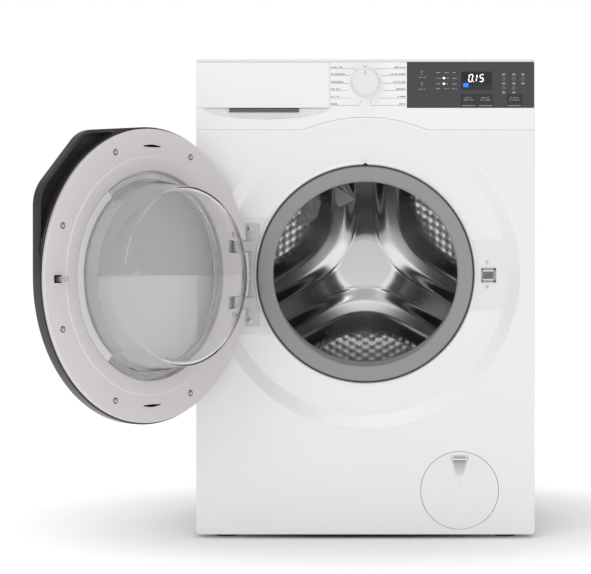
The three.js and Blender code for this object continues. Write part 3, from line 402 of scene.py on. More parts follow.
@dataclass(frozen=True)
class Finish:
    """One material: its colour, gloss and surface, and the record slot that it stands for."""

    name: str
    slot: str
    colour: tuple[float, float, float]
    roughness: float
    metallic: float = 0.0
    coat: float = 0.0
    grain_scale: float = 900.0
    grain_depth: float = 0.12
    tone: float = 0.02
    brushed: float = 0.0
    transmission: float = 0.0
    ior: float = 1.45
    glow: float = 0.0
    holes: bool = False
    # plinth: height in mm of the line below which painted shade darkens the colour
    plinth: float = 0.0

    def material(self, textures: Textures) -> bpy.types.Material:
        """The finish as a node material, built on first use."""
        made = bpy.data.materials.get(self.name)
        if made:
            return made
        made = bpy.data.materials.new(self.name)
        made.use_nodes = True
        tree = made.node_tree
        link = tree.links.new
        shader = tree.nodes["Principled BSDF"]
        shader.inputs["Metallic"].default_value = self.metallic
        shader.inputs["Roughness"].default_value = self.roughness
        shader.inputs["IOR"].default_value = self.ior
        shader.inputs["Coat Weight"].default_value = self.coat
        shader.inputs["Coat Roughness"].default_value = 0.08
        shader.inputs["Transmission Weight"].default_value = self.transmission
        place = tree.nodes.new("ShaderNodeTexCoord")
        grain = tree.nodes.new("ShaderNodeGroup")
        grain.node_tree = textures.grain
        grain.inputs["Scale"].default_value = self.grain_scale
        grain.inputs["Depth"].default_value = self.grain_depth
        grain.inputs["Tone"].default_value = self.tone
        link(place.outputs["Object"], grain.inputs["Vector"])
        tint = tree.nodes.new("ShaderNodeVectorMath")
        tint.operation = "SCALE"
        tint.inputs[0].default_value = linear(self.colour)[:3]
        link(grain.outputs["Tone"], tint.inputs["Scale"])
        colour = tint.outputs[0]
        # painted shade below the plinth line
        if self.plinth:
            colour = self._painted_plinth_shade(tree, place, colour)
        if self.holes:
            colour = self._perforated(tree, place, textures, colour)
        link(colour, shader.inputs["Base Color"])
        link(grain.outputs["Normal"], shader.inputs["Normal"])
        if self.brushed:
            brush = tree.nodes.new("ShaderNodeGroup")
            brush.node_tree = textures.brushing
            brush.inputs["Depth"].default_value = self.brushed
            brush.inputs["Roughness"].default_value = self.roughness - 0.05
            link(place.outputs["Object"], brush.inputs["Vector"])
            link(brush.outputs["Roughness"], shader.inputs["Roughness"])
            link(brush.outputs["Normal"], shader.inputs["Normal"])
        if self.glow:
            link(colour, shader.inputs["Emission Color"])
            shader.inputs["Emission Strength"].default_value = self.glow
        return made

    def _painted_plinth_shade(self, tree: Any, place: Any, colour: Any) -> Any:
        """Painted shade: darkens the colour a little below the plinth line, standing in for the shade where
        the real sheet leans in; the mesh there stays flat.
        """
        split = tree.nodes.new("ShaderNodeSeparateXYZ")
        tree.links.new(place.outputs["Object"], split.inputs[0])
        share = tree.nodes.new("ShaderNodeMapRange")
        share.inputs["From Min"].default_value = self.plinth * MM - 0.0012
        share.inputs["From Max"].default_value = self.plinth * MM + 0.0012
        share.inputs["To Min"].default_value = 0.84
        tree.links.new(split.outputs["Z"], share.inputs["Value"])
        scaled = tree.nodes.new("ShaderNodeVectorMath")
        scaled.operation = "SCALE"
        tree.links.new(colour, scaled.inputs[0])
        tree.links.new(share.outputs[0], scaled.inputs["Scale"])
        return scaled.outputs[0]

    def _perforated(self, tree: Any, place: Any, textures: Textures, colour: Any) -> Any:
        """Blackens the holes of the drum's wall."""
        holes = tree.nodes.new("ShaderNodeGroup")
        holes.node_tree = textures.holes
        tree.links.new(place.outputs["UV"], holes.inputs["Vector"])
        keep = tree.nodes.new("ShaderNodeMath")
        keep.operation = "MULTIPLY_ADD"
        keep.inputs[1].default_value = -0.97
        keep.inputs[2].default_value = 1.0
        tree.links.new(holes.outputs["Mask"], keep.inputs[0])
        scaled = tree.nodes.new("ShaderNodeVectorMath")
        scaled.operation = "SCALE"
        tree.links.new(colour, scaled.inputs[0])
        tree.links.new(keep.outputs[0], scaled.inputs["Scale"])
        return scaled.outputs[0]


# Enamel with painted shade below the plinth line at 96.6 mm; CASING is the same paint without it
ENAMEL_PAINTED_SHADE = Finish(
    "white_enamel", "white_enamel", (0.925, 0.925, 0.93), 0.36, coat=0.25, grain_scale=700, plinth=96.6
)
CASING = Finish("white_casing", "white_enamel", (0.93, 0.93, 0.935), 0.36, coat=0.25, grain_scale=700)
PLASTIC = Finish("white_plastic", "white_plastic", (0.945, 0.945, 0.95), 0.42, grain_scale=1500)
KNOB_WHITE = Finish("knob_plastic", "white_plastic", (0.93, 0.93, 0.935), 0.34, grain_scale=1500)
DISPLAY = Finish("display_plastic", "dark_display", (0.27, 0.27, 0.275), 0.34, grain_scale=1800)
SCREEN = Finish("display_window", "dark_display", (0.15, 0.15, 0.17), 0.12, grain_scale=1800)
KEY = Finish("key_plastic", "dark_key", (0.20, 0.20, 0.21), 0.38, grain_scale=1800)
PRINT_GREY = Finish("legend_print", "dark_display", (0.50, 0.50, 0.51), 0.6)
PRINT_LIGHT = Finish("icon_print", "white_plastic", (0.62, 0.62, 0.63), 0.6)
GLOW_WHITE = Finish("digit_light", "white_plastic", (0.97, 0.97, 1.0), 0.5, glow=1.3)
GLOW_BLUE = Finish("indicator_light", "dark_display", (0.10, 0.42, 0.95), 0.5, glow=1.1)
ZINC = Finish("zinc_steel", "zinc_steel", (0.66, 0.65, 0.63), 0.42, 0.85, grain_scale=500, brushed=0.2)
STEEL = Finish("drum_steel", "stainless", (0.88, 0.88, 0.885), 0.19, 1.0, grain_scale=400, grain_depth=0.03)
WALL_STEEL = Finish(
    "drum_wall_steel", "stainless", (0.60, 0.60, 0.61), 0.28, 1.0, grain_scale=400, holes=True
)
BRIGHT = Finish("bright_steel", "stainless", (0.82, 0.82, 0.83), 0.25, 1.0, brushed=0.1)
CAST = Finish("cast_alloy", "cast_alloy", (0.70, 0.71, 0.72), 0.55, 0.9, grain_scale=250, grain_depth=0.5)
SEAL = Finish(
    "seal_rubber", "grey_rubber", (0.61, 0.60, 0.595), 0.62, grain_scale=1200, grain_depth=0.25, tone=0.04
)
FIN_GREY = Finish("fin_plastic", "grey_plastic", (0.52, 0.52, 0.52), 0.5, grain_scale=1200)
# Painted shade: a near-black finish for thin pieces put into gaps and recesses where shade falls.
SEAM_SHADE = Finish("seam_shadow", "black_rubber", (0.16, 0.16, 0.16), 0.7)
BLACK_RUBBER = Finish(
    "black_rubber", "black_rubber", (0.10, 0.10, 0.105), 0.75, grain_scale=600, grain_depth=0.4
)
TUB = Finish(
    "tub_polymer", "tub_polymer", (0.72, 0.74, 0.75), 0.6, grain_scale=300, grain_depth=0.4, tone=0.08
)
CONCRETE = Finish(
    "concrete", "concrete", (0.58, 0.57, 0.55), 0.95, grain_scale=120, grain_depth=1.0, tone=0.3
)
COVER = Finish("door_cover_black", "black_cover", (0.15, 0.15, 0.152), 0.30, coat=0.4, grain_scale=1500)
RING = Finish("door_ring_plastic", "pale_ring", (0.88, 0.853, 0.855), 0.44, grain_scale=1400)
BAND = Finish("window_band", "white_plastic", (0.90, 0.90, 0.90), 0.5, grain_scale=1400)
GLASS = Finish(
    "bowl_glass", "clear_glass", (0.985, 0.985, 0.985), 0.0, transmission=1.0, ior=1.46, grain_depth=0.0
)
WINDOW = Finish(
    "window_tint", "window_tint", (0.80, 0.80, 0.80), 0.0, transmission=1.0, ior=1.12, grain_depth=0.0
)
GREY = Finish("grey_plastic", "grey_plastic", (0.72, 0.72, 0.725), 0.5, grain_scale=1200)
SIPHON_BLUE = Finish("siphon_blue", "grey_plastic", (0.45, 0.62, 0.80), 0.4, grain_scale=1200)
BLACK_PAINT = Finish("black_paint", "black_paint", (0.13, 0.13, 0.135), 0.5, grain_scale=500)


# ---------------------------------------------------------------- bench
@dataclass
class Bench:
    """Puts surfaces into the scene, in the frame's metres, and has them ride on the frame's bodies."""

    frame: dict[str, Any]
    textures: Textures
    origin: np.ndarray = field(default_factory=lambda: np.zeros(3))
    hinge: np.ndarray = field(default_factory=lambda: np.zeros(3))
    swing: float = 0.0

    def settle(self) -> None:
        """Reads the cabinet's place and the door's hinge and opening from the frame."""
        low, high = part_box("cabinet_shell")
        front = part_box("front_panel")[0][1]
        self.origin = np.array([(low[0] + high[0]) / 2, front, 0.0])
        joint = next(j for j in self.frame["joints"] if j["name"] == "door_hinge")
        self.hinge = np.array([joint["pos_m"][0], joint["pos_m"][1], 0.0])
        self.swing = math.radians(joint["range_deg"][0])

    def place(self, points: np.ndarray, on_door: bool = False) -> np.ndarray:
        """Points in metres in the frame; those on the door are turned about its hinge as it stands open."""
        world = points * MM + self.origin
        if not on_door:
            return world
        c, s = math.cos(self.swing), math.sin(self.swing)
        away = world - self.hinge
        turned = np.stack(
            [c * away[:, 0] - s * away[:, 1], s * away[:, 0] + c * away[:, 1], away[:, 2]], axis=1
        )
        return turned + self.hinge

    def add(
        self,
        name: str,
        surface: Surface,
        finish: Finish,
        body: str | None,
        stands_for: Sequence[str] = (),
        on_door: bool = False,
        crease: float = 32.0,
    ) -> bpy.types.Object:
        """Makes a piece: welded, facing out, smooth but for creases, finished, and riding on its body.

        A piece that bends between two bodies is given no body here.
        """
        mesh = bpy.data.meshes.new(name)
        mesh.from_pydata(self.place(surface.points, on_door).tolist(), [], surface.faces)
        if surface.uv is not None:
            layer = mesh.uv_layers.new(name="flow")
            layer.data.foreach_set("uv", surface.uv.ravel())
        self._tidy(mesh, crease)
        piece = bpy.data.objects.new(name, mesh)
        bpy.context.scene.collection.objects.link(piece)
        mesh.materials.append(finish.material(self.textures))
        if body:
            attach(piece, body)
        if stands_for:
            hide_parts(*stands_for)
        LOG.info("%s on %s: %d faces", name, body, len(mesh.polygons))
        return piece

    @staticmethod
    def _tidy(mesh: bpy.types.Mesh, crease: float) -> None:
        """Merges doubled corners, turns faces out and marks the sharp edges."""
        work = bmesh.new()
        work.from_mesh(mesh)
        bmesh.ops.remove_doubles(work, verts=work.verts, dist=2e-6)
        bmesh.ops.dissolve_degenerate(work, edges=work.edges, dist=1e-7)
        bmesh.ops.recalc_face_normals(work, faces=work.faces)
        work.to_mesh(mesh)
        work.free()
        mesh.polygons.foreach_set("use_smooth", np.ones(len(mesh.polygons), bool))
        mesh.set_sharp_from_angle(angle=math.radians(crease))

    def carve(self, piece: bpy.types.Object, cutters: Sequence[Surface], on_door: bool = False) -> None:
        """Cuts closed surfaces out of a piece and keeps the result as its mesh."""
        tool_mesh = bpy.data.meshes.new("tool")
        tool = Surface.joined(cutters)
        tool_mesh.from_pydata(self.place(tool.points, on_door).tolist(), [], tool.faces)
        self._tidy(tool_mesh, 30.0)
        cutter = bpy.data.objects.new("tool", tool_mesh)
        bpy.context.scene.collection.objects.link(cutter)
        modifier = piece.modifiers.new("carve", "BOOLEAN")
        modifier.operation = "DIFFERENCE"
        modifier.solver = "EXACT"
        modifier.object = cutter
        graph = bpy.context.evaluated_depsgraph_get()
        result = bpy.data.meshes.new_from_object(piece.evaluated_get(graph))
        piece.modifiers.remove(modifier)
        old = piece.data
        piece.data = result
        result.name = piece.name
        bpy.data.meshes.remove(old)
        bpy.data.objects.remove(cutter)
        bpy.data.meshes.remove(tool_mesh)
        result.set_sharp_from_angle(angle=math.radians(32))

    def dress(self, finish: Finish, *nodes: str) -> None:
        """Gives carried-over nodes of the frame a finish."""
        for node in nodes:
            data = self.frame["nodes"][node].data
            data.materials.clear()
            data.materials.append(finish.material(self.textures))

    def screws(
        self,
        name: str,
        places: Sequence[tuple[float, float, float]],
        body: str,
        radius: float = 3.6,
        outward: float = -1.0,
        on_door: bool = False,
        finish: Finish = ZINC,
    ) -> None:
        """Pan-head screws seen along Y at each (x, y, z), their heads standing out along the given way."""
        head = np.array(
            [
                (0, 0.2),
                (0.18, 0.2),
                (0.24, 0.75),
                (0.62, 0.7),
                (0.92, 0.45),
                (1.0, 0.1),
                (1.0, -0.25),
                (0, -0.25),
            ]
        )
        parts = []
        for x, y, z in places:
            profile = np.stack([head[:, 0] * radius, y + outward * head[:, 1] * radius * 0.6], axis=1)
            parts.append(revolved(profile, x, z, 20))
        self.add(name, Surface.joined(parts), finish, body, on_door=on_door)


# ---------------------------------------------------------------- cabinet
@dataclass
class Cabinet:
    """Painted casing: the dished front sheet, lid, feet and the service side."""

    half: float = 300.0
    depth: float = 560.0
    top: float = 850.0
    seam: float = 724.6
    floor_gap: float = 8.0
    split: float = 170.0
    door_z: float = 469.5
    dish_r: float = 276.0
    dish_floor_r: float = 251.6
    dish_depth: float = 16.0
    mouth_r: float = 193.0
    flap: tuple[float, float, float] = (167.0, 86.0, 68.6)
    flange: float = 24.4

    def build(self, bench: Bench) -> None:
        """Makes every casing piece."""
        self._front(bench)
        self._pads(bench)
        self._lid(bench)
        self._feet(bench)
        self._flap(bench)
        self._back(bench)
        bench.dress(CASING, "cabinet_shell")
        bench.dress(BLACK_PAINT, "base_pan")
        bench.dress(ZINC, "back_panel", "crossbeam")

    def _sheet(
        self, centre: tuple[float, float], inner: Outline, outline: Outline, inset: Outline, edge: np.ndarray
    ) -> Surface:
        """A folded sheet about a round hole: profile rows near the hole, then rows out to an outline.

        Args:
            centre: the hole's middle.
            inner: (radius, y) rows, from the hole's far edge out to the flat.
            outline: the outer corners, one for each direction.
            inset: the same corners moved in by their rounding.
            edge: the rounding radius at each outer corner.

        Returns:
            A closed surface: front rows, rim, flange and back rows.
        """
        middle = np.array(centre)
        reach = np.linalg.norm(inset - middle, axis=1)
        way = (inset - middle) / reach[:, None]
        rows = [np.insert(middle + way * r, 1, y, axis=1) for r, y in inner]
        first = np.minimum(inner[-1][0] + 2.0, reach - 0.06)
        second = np.maximum(reach - 2.5, first + 0.02)
        rows += [np.insert(middle + way * r[:, None], 1, 0.0, axis=1) for r in (first, second)]
        for t in np.linspace(0, math.pi / 2, 5):
            at = inset + (outline - inset) * math.sin(t)
            rows.append(np.insert(at, 1, edge * (1 - math.cos(t)), axis=1))
        back = outline - way * 1.3
        rows += [
            np.insert(at, 1, y, axis=1)
            for at, y in ((outline, self.flange), (back, self.flange), (back, 1.3))
        ]
        for r, y in inner[::-1]:
            shift = 1.1 if y < 0.6 else 0.8
            r2 = np.minimum(r + 0.8, reach - 1.6)[:, None]
            rows.append(np.insert(middle + way * r2, 1, y + shift, axis=1))
        return grid(np.stack(rows, axis=1), True, True)

    def _front(self, bench: Bench) -> None:
        """The dished upper sheet and the lower sheet about the filter flap, level with each other."""
        bulge = self.dish_r + 1.5
        angles = np.unique(
            np.concatenate(
                [
                    np.linspace(-math.pi, math.pi, 361)[:-1],
                    [
                        math.atan2(z - self.door_z, x)
                        for x in (-self.half, self.half)
                        for z in (self.split, self.seam)
                    ],
                    [math.atan2(self.split - self.door_z, x) for x in (2 - self.half, self.half - 2)],
                ]
            )
        )
        c, s = np.cos(angles), np.sin(angles)
        sides = self.half / np.maximum(np.abs(c), 1e-6)
        upper = (self.seam - self.door_z) / np.maximum(s, 1e-6)
        lower = (self.door_z - self.split) / np.maximum(-s, 1e-6)
        reach = np.where(s > 0, np.minimum(sides, upper), np.minimum(sides, lower))
        reach = np.maximum(reach, bulge)
        outline = np.stack([reach * c, self.door_z + reach * s], axis=1)
        at_side, at_foot = np.abs(outline[:, 0]) > self.half - 0.5, outline[:, 1] < self.split + 0.1
        edge = np.where(at_side, 1.6, np.where(at_foot, 0.0, 0.7))
        level = np.clip(outline, [-self.half + 1.6, 0.0], [self.half - 1.6, self.seam - 0.7])
        bulging = (reach < bulge + 0.01)[:, None]
        inset = np.where(bulging, outline - 0.7 * np.stack([c, s], axis=1), level)
        lip = filleted(
            [
                (self.mouth_r, self.dish_depth + 12),
                (self.mouth_r, self.dish_depth - 1.5),
                (self.mouth_r + 3, self.dish_depth - 3),
                (self.mouth_r + 6.5, self.dish_depth),
                (self.dish_floor_r, self.dish_depth),
                (self.dish_r - 1.5, 0.25),
                (self.dish_r + 0.7, 0.0),
            ],
            [0, 1.4, 3, 3, 1.2, 5, 0],
            False,
            5,
        )
        dished = self._sheet((0.0, self.door_z), lip, outline, inset, edge)
        fx, fz, fr = self.flap
        frames = []
        for e in (0.0, 1.6):
            side, low = self.half - e, self.floor_gap + e
            run = [(-side, self.split), (-side, low), (side, low), (side, self.split)]
            frames.append(filleted(run, [0, 8 - e, 8 - e, 0], True, 8))
        both = self._refined(np.hstack(frames), 12.0)
        away = both[:, :2] - np.array([fx, fz])
        both = both[np.argsort(np.arctan2(away[:, 1], away[:, 0]))]
        edge2 = np.linalg.norm(both[:, 2:] - both[:, :2], axis=1)
        hole = fr + 0.7
        rim = np.array([(hole, 3.0), (hole, 0.5), (hole + 0.5, 0.0), (hole + 2.0, 0.0)])
        foot = self._sheet((fx, fz), rim, both[:, :2], both[:, 2:], edge2)
        # these sheets take the enamel with painted shade below the plinth line
        front = bench.add("front_sheet", dished, ENAMEL_PAINTED_SHADE, "cabinet", ["front_panel"])
        bench.carve(front, [slab(rectangle(207.6, 228.4, 456.2, 477.8), 10, 22)])
        bench.add("front_sheet_foot", foot, ENAMEL_PAINTED_SHADE, "cabinet")

    @staticmethod
    def _refined(outline: Outline, step: float) -> Outline:
        """An outline with points added so that no side is longer than a step."""
        parts = []
        for a, b in zip(outline, np.roll(outline, -1, axis=0)):
            n = max(1, int(np.ceil(np.linalg.norm(b[:2] - a[:2]) / step)))
            parts.append(a + (b - a) * (np.arange(n) / n)[:, None])
        return np.concatenate(parts)

    def _pads(self, bench: Bench) -> None:
        """Flat raised seats on the dish's floor for the hinge and the lock."""
        parts = []
        for side, low, high in ((-1.0, 361.0, 570.0), (1.0, 404.0, 530.0)):
            inner, outer = self.mouth_r + 7, self.dish_floor_r - 1.2
            near = [math.asin((z - self.door_z) / inner) for z in (low, high)]
            far = [math.asin((z - self.door_z) / outer) for z in (low, high)]
            shape = np.vstack(
                [arc(inner, near[1], near[0], self.door_z), arc(outer, far[0], far[1], self.door_z)]
            )
            shape[:, 0] *= side
            shape = anticlockwise(shape)
            parts.append(slab(shape, self.dish_depth - 1.4, self.dish_depth + 0.4, 0.6))
        seats = bench.add("hinge_and_lock_seats", Surface.joined(parts), CASING, "cabinet")
        bench.carve(seats, [slab(rectangle(207.6, 228.4, 456.2, 477.8), 10, 22)])

    def _lid(self, bench: Bench) -> None:
        """The worktop: a thin flat lid with rounded rims."""
        outline = filleted([(-300, 0), (300, 0), (300, 560), (-300, 560)], [8, 8, 3, 3], True, 8)
        bench.add("lid", slab(outline, 845.0, 850.0, 1.8, Plane.XY), CASING, "cabinet", ["worktop"])

    def _feet(self, bench: Bench) -> None:
        """Levelling feet: a rubber pad, a hexagon lock nut and a threaded stud."""
        for name, x, y in (
            ("front_left", -250, 55),
            ("front_right", 250, 55),
            ("rear_left", -250, 505),
            ("rear_right", 250, 505),
        ):
            pad = filleted(
                [(0, 0), (19, 0), (20, 3), (20, 6), (15, 8), (8, 8.4), (8, 9), (0, 9)],
                [0, 1, 1, 1, 1, 0.3, 0.3, 0],
                False,
                3,
            )
            thread = [(5.0 - 0.6 * (i % 2), 13 + 0.9 * i) for i in range(25)]
            stud = np.array([(0, 8.5), (4.4, 8.5), *thread, (0, 36)])
            nut = slab(disc(x, y, 9.0, 6), 9.2, 13.2, 0.6, Plane.XY)
            parts = [turned_upright(pad, x, y, 40)]
            bench.add("foot_pad_" + name, Surface.joined(parts), BLACK_RUBBER, "cabinet", ["foot_" + name])
            bench.add(
                "foot_stud_" + name, Surface.joined([turned_upright(stud, x, y, 20), nut]), ZINC, "cabinet"
            )

    def _flap(self, bench: Bench) -> None:
        """The round filter flap with its finger tab, flush in the front sheet."""
        x, z, r = self.flap
        profile = filleted(
            [(0, 0), (r, 0), (r, 3), (r - 8, 3), (r - 8.3, 1.9), (0, 1.9)],
            [0, 0.7, 0.3, 0.3, 0.3, 0],
            False,
            4,
        )
        # the flap's enamel also carries the painted shade below the plinth line
        flap = bench.add("flap", revolved(profile, x, z, 144), ENAMEL_PAINTED_SHADE, "flap", ["filter_flap"])
        top = z + r
        cut = [
            slab(rectangle(x - 14.6, x - 11.9, top - 14.6, top + 3, 0.8), -1, 2.6),
            slab(rectangle(x + 11.9, x + 14.6, top - 14.6, top + 3, 0.8), -1, 2.6),
            slab(rectangle(x - 14.6, x + 14.6, top - 14.6, top - 12.2, 0.8), -1, 2.6),
        ]
        bench.carve(flap, cut)
        # Painted shade: a dark sheet behind the tab's cut slots, standing in for the shade in the gap behind
        # the flap.
        web = slab(rectangle(x - 13.5, x + 13.5, top - 15.5, top - 3, 1.0), 1.4, 2.4, 0.3)
        bench.add("flap_tab_shade_web", web, SEAM_SHADE, "flap")
        bench.dress(GREY, "pump_filter", "pump_housing")

    def _back(self, bench: Bench) -> None:
        """Stiffening ribs, louvres, transit bolt caps, screws and hose fittings on the service side."""
        plane = self.depth + 1.5
        ribs = [
            slab(
                rectangle(-150 + 50 * k - 7, -150 + 50 * k + 7, 220, 660, 7, 6),
                plane - 11.5,
                plane - 9.2,
                0.9,
            )
            for k in range(7)
        ]
        bench.add("back_ribs", Surface.joined(ribs), ZINC, "cabinet")
        louvres = [
            slab(
                rectangle(-285, -225, 300 + 12 * k, 305 + 12 * k, 2.4, 4),
                self.depth - 0.3,
                self.depth + 0.9,
                0.5,
            )
            for k in range(12)
        ]
        louvres += [
            slab(
                rectangle(228, 285, 300 + 12 * k, 305 + 12 * k, 2.4, 4),
                self.depth - 0.3,
                self.depth + 0.9,
                0.5,
            )
            for k in range(12)
        ]
        bench.add("back_louvres", Surface.joined(louvres), CASING, "cabinet")
        cap = filleted(
            [(0, 0), (13, 0), (15, 1.6), (14, 3.2), (4, 4.2), (0, 4.2)], [0, 0.5, 1, 1, 1, 0], False, 4
        )
        caps = [
            revolved(np.stack([cap[:, 0], self.depth + 0.1 + cap[:, 1]], axis=1), x, z, 48)
            for x in (-255, 255)
            for z in (240, 690)
        ]
        bench.add("transit_bolt_caps", Surface.joined(caps), GREY, "cabinet")
        places = [(x, plane, z) for x in (-215, 0, 215) for z in (125, 765)]
        places += [(x, plane, z) for x in (-215, 215) for z in (280, 445, 610)]
        bench.screws("back_screws", places, "cabinet", 4.0, 1.0)
        bench.dress(GREY, "inlet_valve", "drain_outlet")
        bench.dress(BLACK_RUBBER, "power_inlet")
        thread = [(13.4 - 0.9 * (i % 2), 562 + 1.0 * i) for i in range(16)]
        collar = np.array([(9, 561), (13, 561), *thread, (12, 578), (9, 578)])
        bench.add("inlet_thread", revolved(collar, -240, 800, 48), GREY, "cabinet")
        barbs = [(14.4 if i % 2 else 12.6, 561 + 2.3 * i) for i in range(10)]
        spigot = np.array([(9.4, 561), *barbs, (9.4, 583.5)])
        bench.add("drain_barbs", revolved(spigot, -240, 100, 48), GREY, "cabinet")


# ---------------------------------------------------------------- controls
class Bar(Enum):
    """The bars of a seven-bar digit, as (across, up, lying) in units of the digit's half size."""

    TOP = (0, 2, True)
    MIDDLE = (0, 0, True)
    FOOT = (0, -2, True)
    UPPER_LEFT = (-1, 1, False)
    UPPER_RIGHT = (1, 1, False)
    LOWER_LEFT = (-1, -1, False)
    LOWER_RIGHT = (1, -1, False)


DIGITS: dict[str, tuple[Bar, ...]] = {
    "0": (Bar.TOP, Bar.FOOT, Bar.UPPER_LEFT, Bar.UPPER_RIGHT, Bar.LOWER_LEFT, Bar.LOWER_RIGHT),
    "1": (Bar.UPPER_RIGHT, Bar.LOWER_RIGHT),
    "5": (Bar.TOP, Bar.MIDDLE, Bar.FOOT, Bar.UPPER_LEFT, Bar.LOWER_RIGHT),
}


@dataclass
class Controls:
    """The fascia with its grip, the drawer's front, the knob, the legends and the display."""

    half: float = 300.0
    seam: float = 724.9
    band: float = 763.6
    top: float = 844.7
    drawer_right: float = -63.0
    display_left: float = 73.7
    bulge_r: float = 277.9
    door_z: float = 469.5
    grip: tuple[float, float] = (-242.0, -118.0)
    scoop_half: float = 112.0
    scoop_drop: float = 20.0
    scoop_depth: float = 14.0
    knob_z: float = 809.0
    keys: tuple[float, ...] = (170.0, 199.5, 251.0)
    key_w: float = 26.0
    print_t: float = 0.12

    def build(self, bench: Bench) -> None:
        """Makes every piece of the control area."""
        self._fascia(bench)
        self._drawer(bench)
        self._knob(bench)
        self._legend(bench)
        self._display(bench)
        self._key_caps(bench)
        bench.dress(GREY, "control_unit", "dispenser_housing", "drawer_tray")

    def _fascia(self, bench: Bench) -> None:
        """The plain band with its scooped grip, in one with the middle plate behind the knob.

        The scoop is a half ellipsoid: depth times the root of 1 - (x/half)^2 - (drop/height)^2.
        The grip slot is a deeper pocket with steep sides.
        """
        x = np.unique(
            np.concatenate([np.linspace(-self.half, self.half, 401), [-self.half + 0.8, self.half - 0.8]])
        )
        rise = np.sqrt(np.maximum(self.bulge_r**2 - x**2, 0.0)) + self.door_z
        foot = np.maximum(rise, self.seam)
        share = np.linspace(0, 1, 40)[None, :]
        z = foot[:, None] + (self.band - foot[:, None]) * share
        middle = (self.grip[0] + self.grip[1]) / 2 + 4
        gx, gz = (x[:, None] - middle) / self.scoop_half, (self.band - z) / self.scoop_drop
        depth = self.scoop_depth * np.sqrt(np.maximum(1 - gx**2 - gz**2, 0.0))
        across = smoothstep(self.grip[0] - 1, self.grip[0] + 1, x) * (
            1 - smoothstep(self.grip[1] - 1, self.grip[1] + 1, x)
        )
        pocket = across[:, None] * smoothstep(755.6, 757.2, z)
        depth = np.maximum(depth, 21.0 * pocket)
        lip = 0.8
        depth = depth + lip * (
            1 - np.sqrt(np.clip(1 - (1 - np.clip((z - foot[:, None]) / lip, 0, 1)) ** 2, 0, 1))
        )
        side = np.clip((self.half - np.abs(x)) / 2.5, 0, 1)[:, None]
        depth = depth + 2.5 * (1 - np.sqrt(1 - (1 - side) ** 2))
        front = np.stack([np.broadcast_to(x[:, None], z.shape), depth, z], axis=2)
        back_top = np.stack([x, np.full(len(x), 24.0), np.full(len(x), self.band)], axis=1)
        back_foot = np.stack([x, np.full(len(x), 24.0), foot], axis=1)
        loop = np.concatenate([front, back_top[:, None], back_foot[:, None]], axis=1)
        body = grid(loop, False, True)
        n, m = loop.shape[:2]
        body.faces += [tuple(range(m)), tuple(range((n - 1) * m, n * m))]
        plate = slab(
            rectangle(self.drawer_right + 0.3, self.display_left - 0.3, self.band, self.top), 0.0, 3.0
        )
        shell = Surface.joined([Surface(body.points, body.faces), plate])
        piece = bench.add("fascia", shell, PLASTIC, "cabinet", ["control_fascia"], crease=40)
        bench.carve(piece, [revolved(np.array([(0, -1), (4.5, -1), (4.5, 4), (0, 4)]), 0, self.knob_z, 32)])
        cheeks = [
            slab(rectangle(4.0, 24.0, self.band, self.top, 0.3), -self.half, -self.half + 3, 0.5, Plane.YZ),
            slab(rectangle(4.0, 24.0, self.band, self.top, 0.3), self.half - 3, self.half, 0.5, Plane.YZ),
            slab(rectangle(-self.half + 2, self.half - 2, self.top - 2.5, self.top, 0.3), 4.0, 24.0, 0.5),
        ]
        bench.add("fascia_cheeks", Surface.joined(cheeks), PLASTIC, "cabinet")

    def _drawer(self, bench: Bench) -> None:
        """The drawer's front with a soft lower lip, its pocket for the fingers and the tray's dividers."""
        outline = rectangle(-self.half + 0.6, self.drawer_right, self.band + 0.3, self.top, 1.2, 4)
        face = slab(outline, 0.0, 3.4, 1.0)
        body = slab(rectangle(-285.5, -76.5, self.band + 2.6, 837.5, 3, 4), 3.0, 16.0, 0.6)
        piece = bench.add("drawer_face", Surface.joined([face]), PLASTIC, "drawer", ["drawer_front"])
        rear = bench.add("drawer_face_rear", body, PLASTIC, "drawer")
        lo, hi = self.grip
        bench.carve(rear, [slab(rectangle(lo, hi, self.band, self.band + 13, 2), 5.2, 14.0)])
        LOG.info("drawer faces %s and %s", piece.name, rear.name)
        bench.add(
            "grip_back", slab(rectangle(lo + 0.5, hi - 0.5, 757.0, 763.0, 1), 17.5, 19.5), FIN_GREY, "cabinet"
        )
        insert = slab(rectangle(-204, -152.5, 150, 240, 4, 4), 775.0, 822.0, 1.5, Plane.XY)
        cap = slab(rectangle(-196, -160, 170, 226, 8, 5), 822.0, 829.0, 2.0, Plane.XY)
        bench.add("siphon_insert", Surface.joined([insert, cap]), SIPHON_BLUE, "drawer")

    def _knob(self, bench: Bench) -> None:
        """The programme knob: a flared foot, a slim waist, a crowned face with a dished middle."""
        profile = filleted(
            [
                (0, -20.2),
                (17, -20.5),
                (22.6, -20.3),
                (23.3, -17),
                (23.9, -5.5),
                (26.5, -3.6),
                (26.5, -0.4),
                (4, -0.4),
                (4, 12),
                (0, 12),
            ],
            [0, 4, 1.6, 3, 2, 1, 0.4, 0, 0.5, 0],
            False,
            6,
        )
        bench.add("knob", revolved(profile, 0, self.knob_z, 144), KNOB_WHITE, "knob", ["programme_knob"])
        mark = slab(rectangle(-0.7, 0.7, self.knob_z + 12, self.knob_z + 20, 0.6, 4), -20.75, -20.2, 0.1)
        bench.add("knob_pointer", mark, PRINT_LIGHT, "knob")

    def _stroke(self, points: Sequence[Sequence[float]], width: float) -> Surface:
        """A printed line of even width along points on the fascia."""
        run = np.asarray(points, float)
        return slab(wall(run, width), -self.print_t, 0.05)

    def _words(
        self, x0: float, x1: float, z: float, height: float, rng: np.random.Generator
    ) -> list[Surface]:
        """A row of short bars in place of lettering."""
        parts = []
        x = x0
        while x < x1 - 1.2:
            w = min(float(rng.uniform(1.2, 3.4)), x1 - x)
            parts.append(slab(rectangle(x, x + w, z, z + height, 0.3, 2), -self.print_t, 0.05))
            x += w + (2.0 if rng.uniform() > 0.72 else 0.55)
        return parts

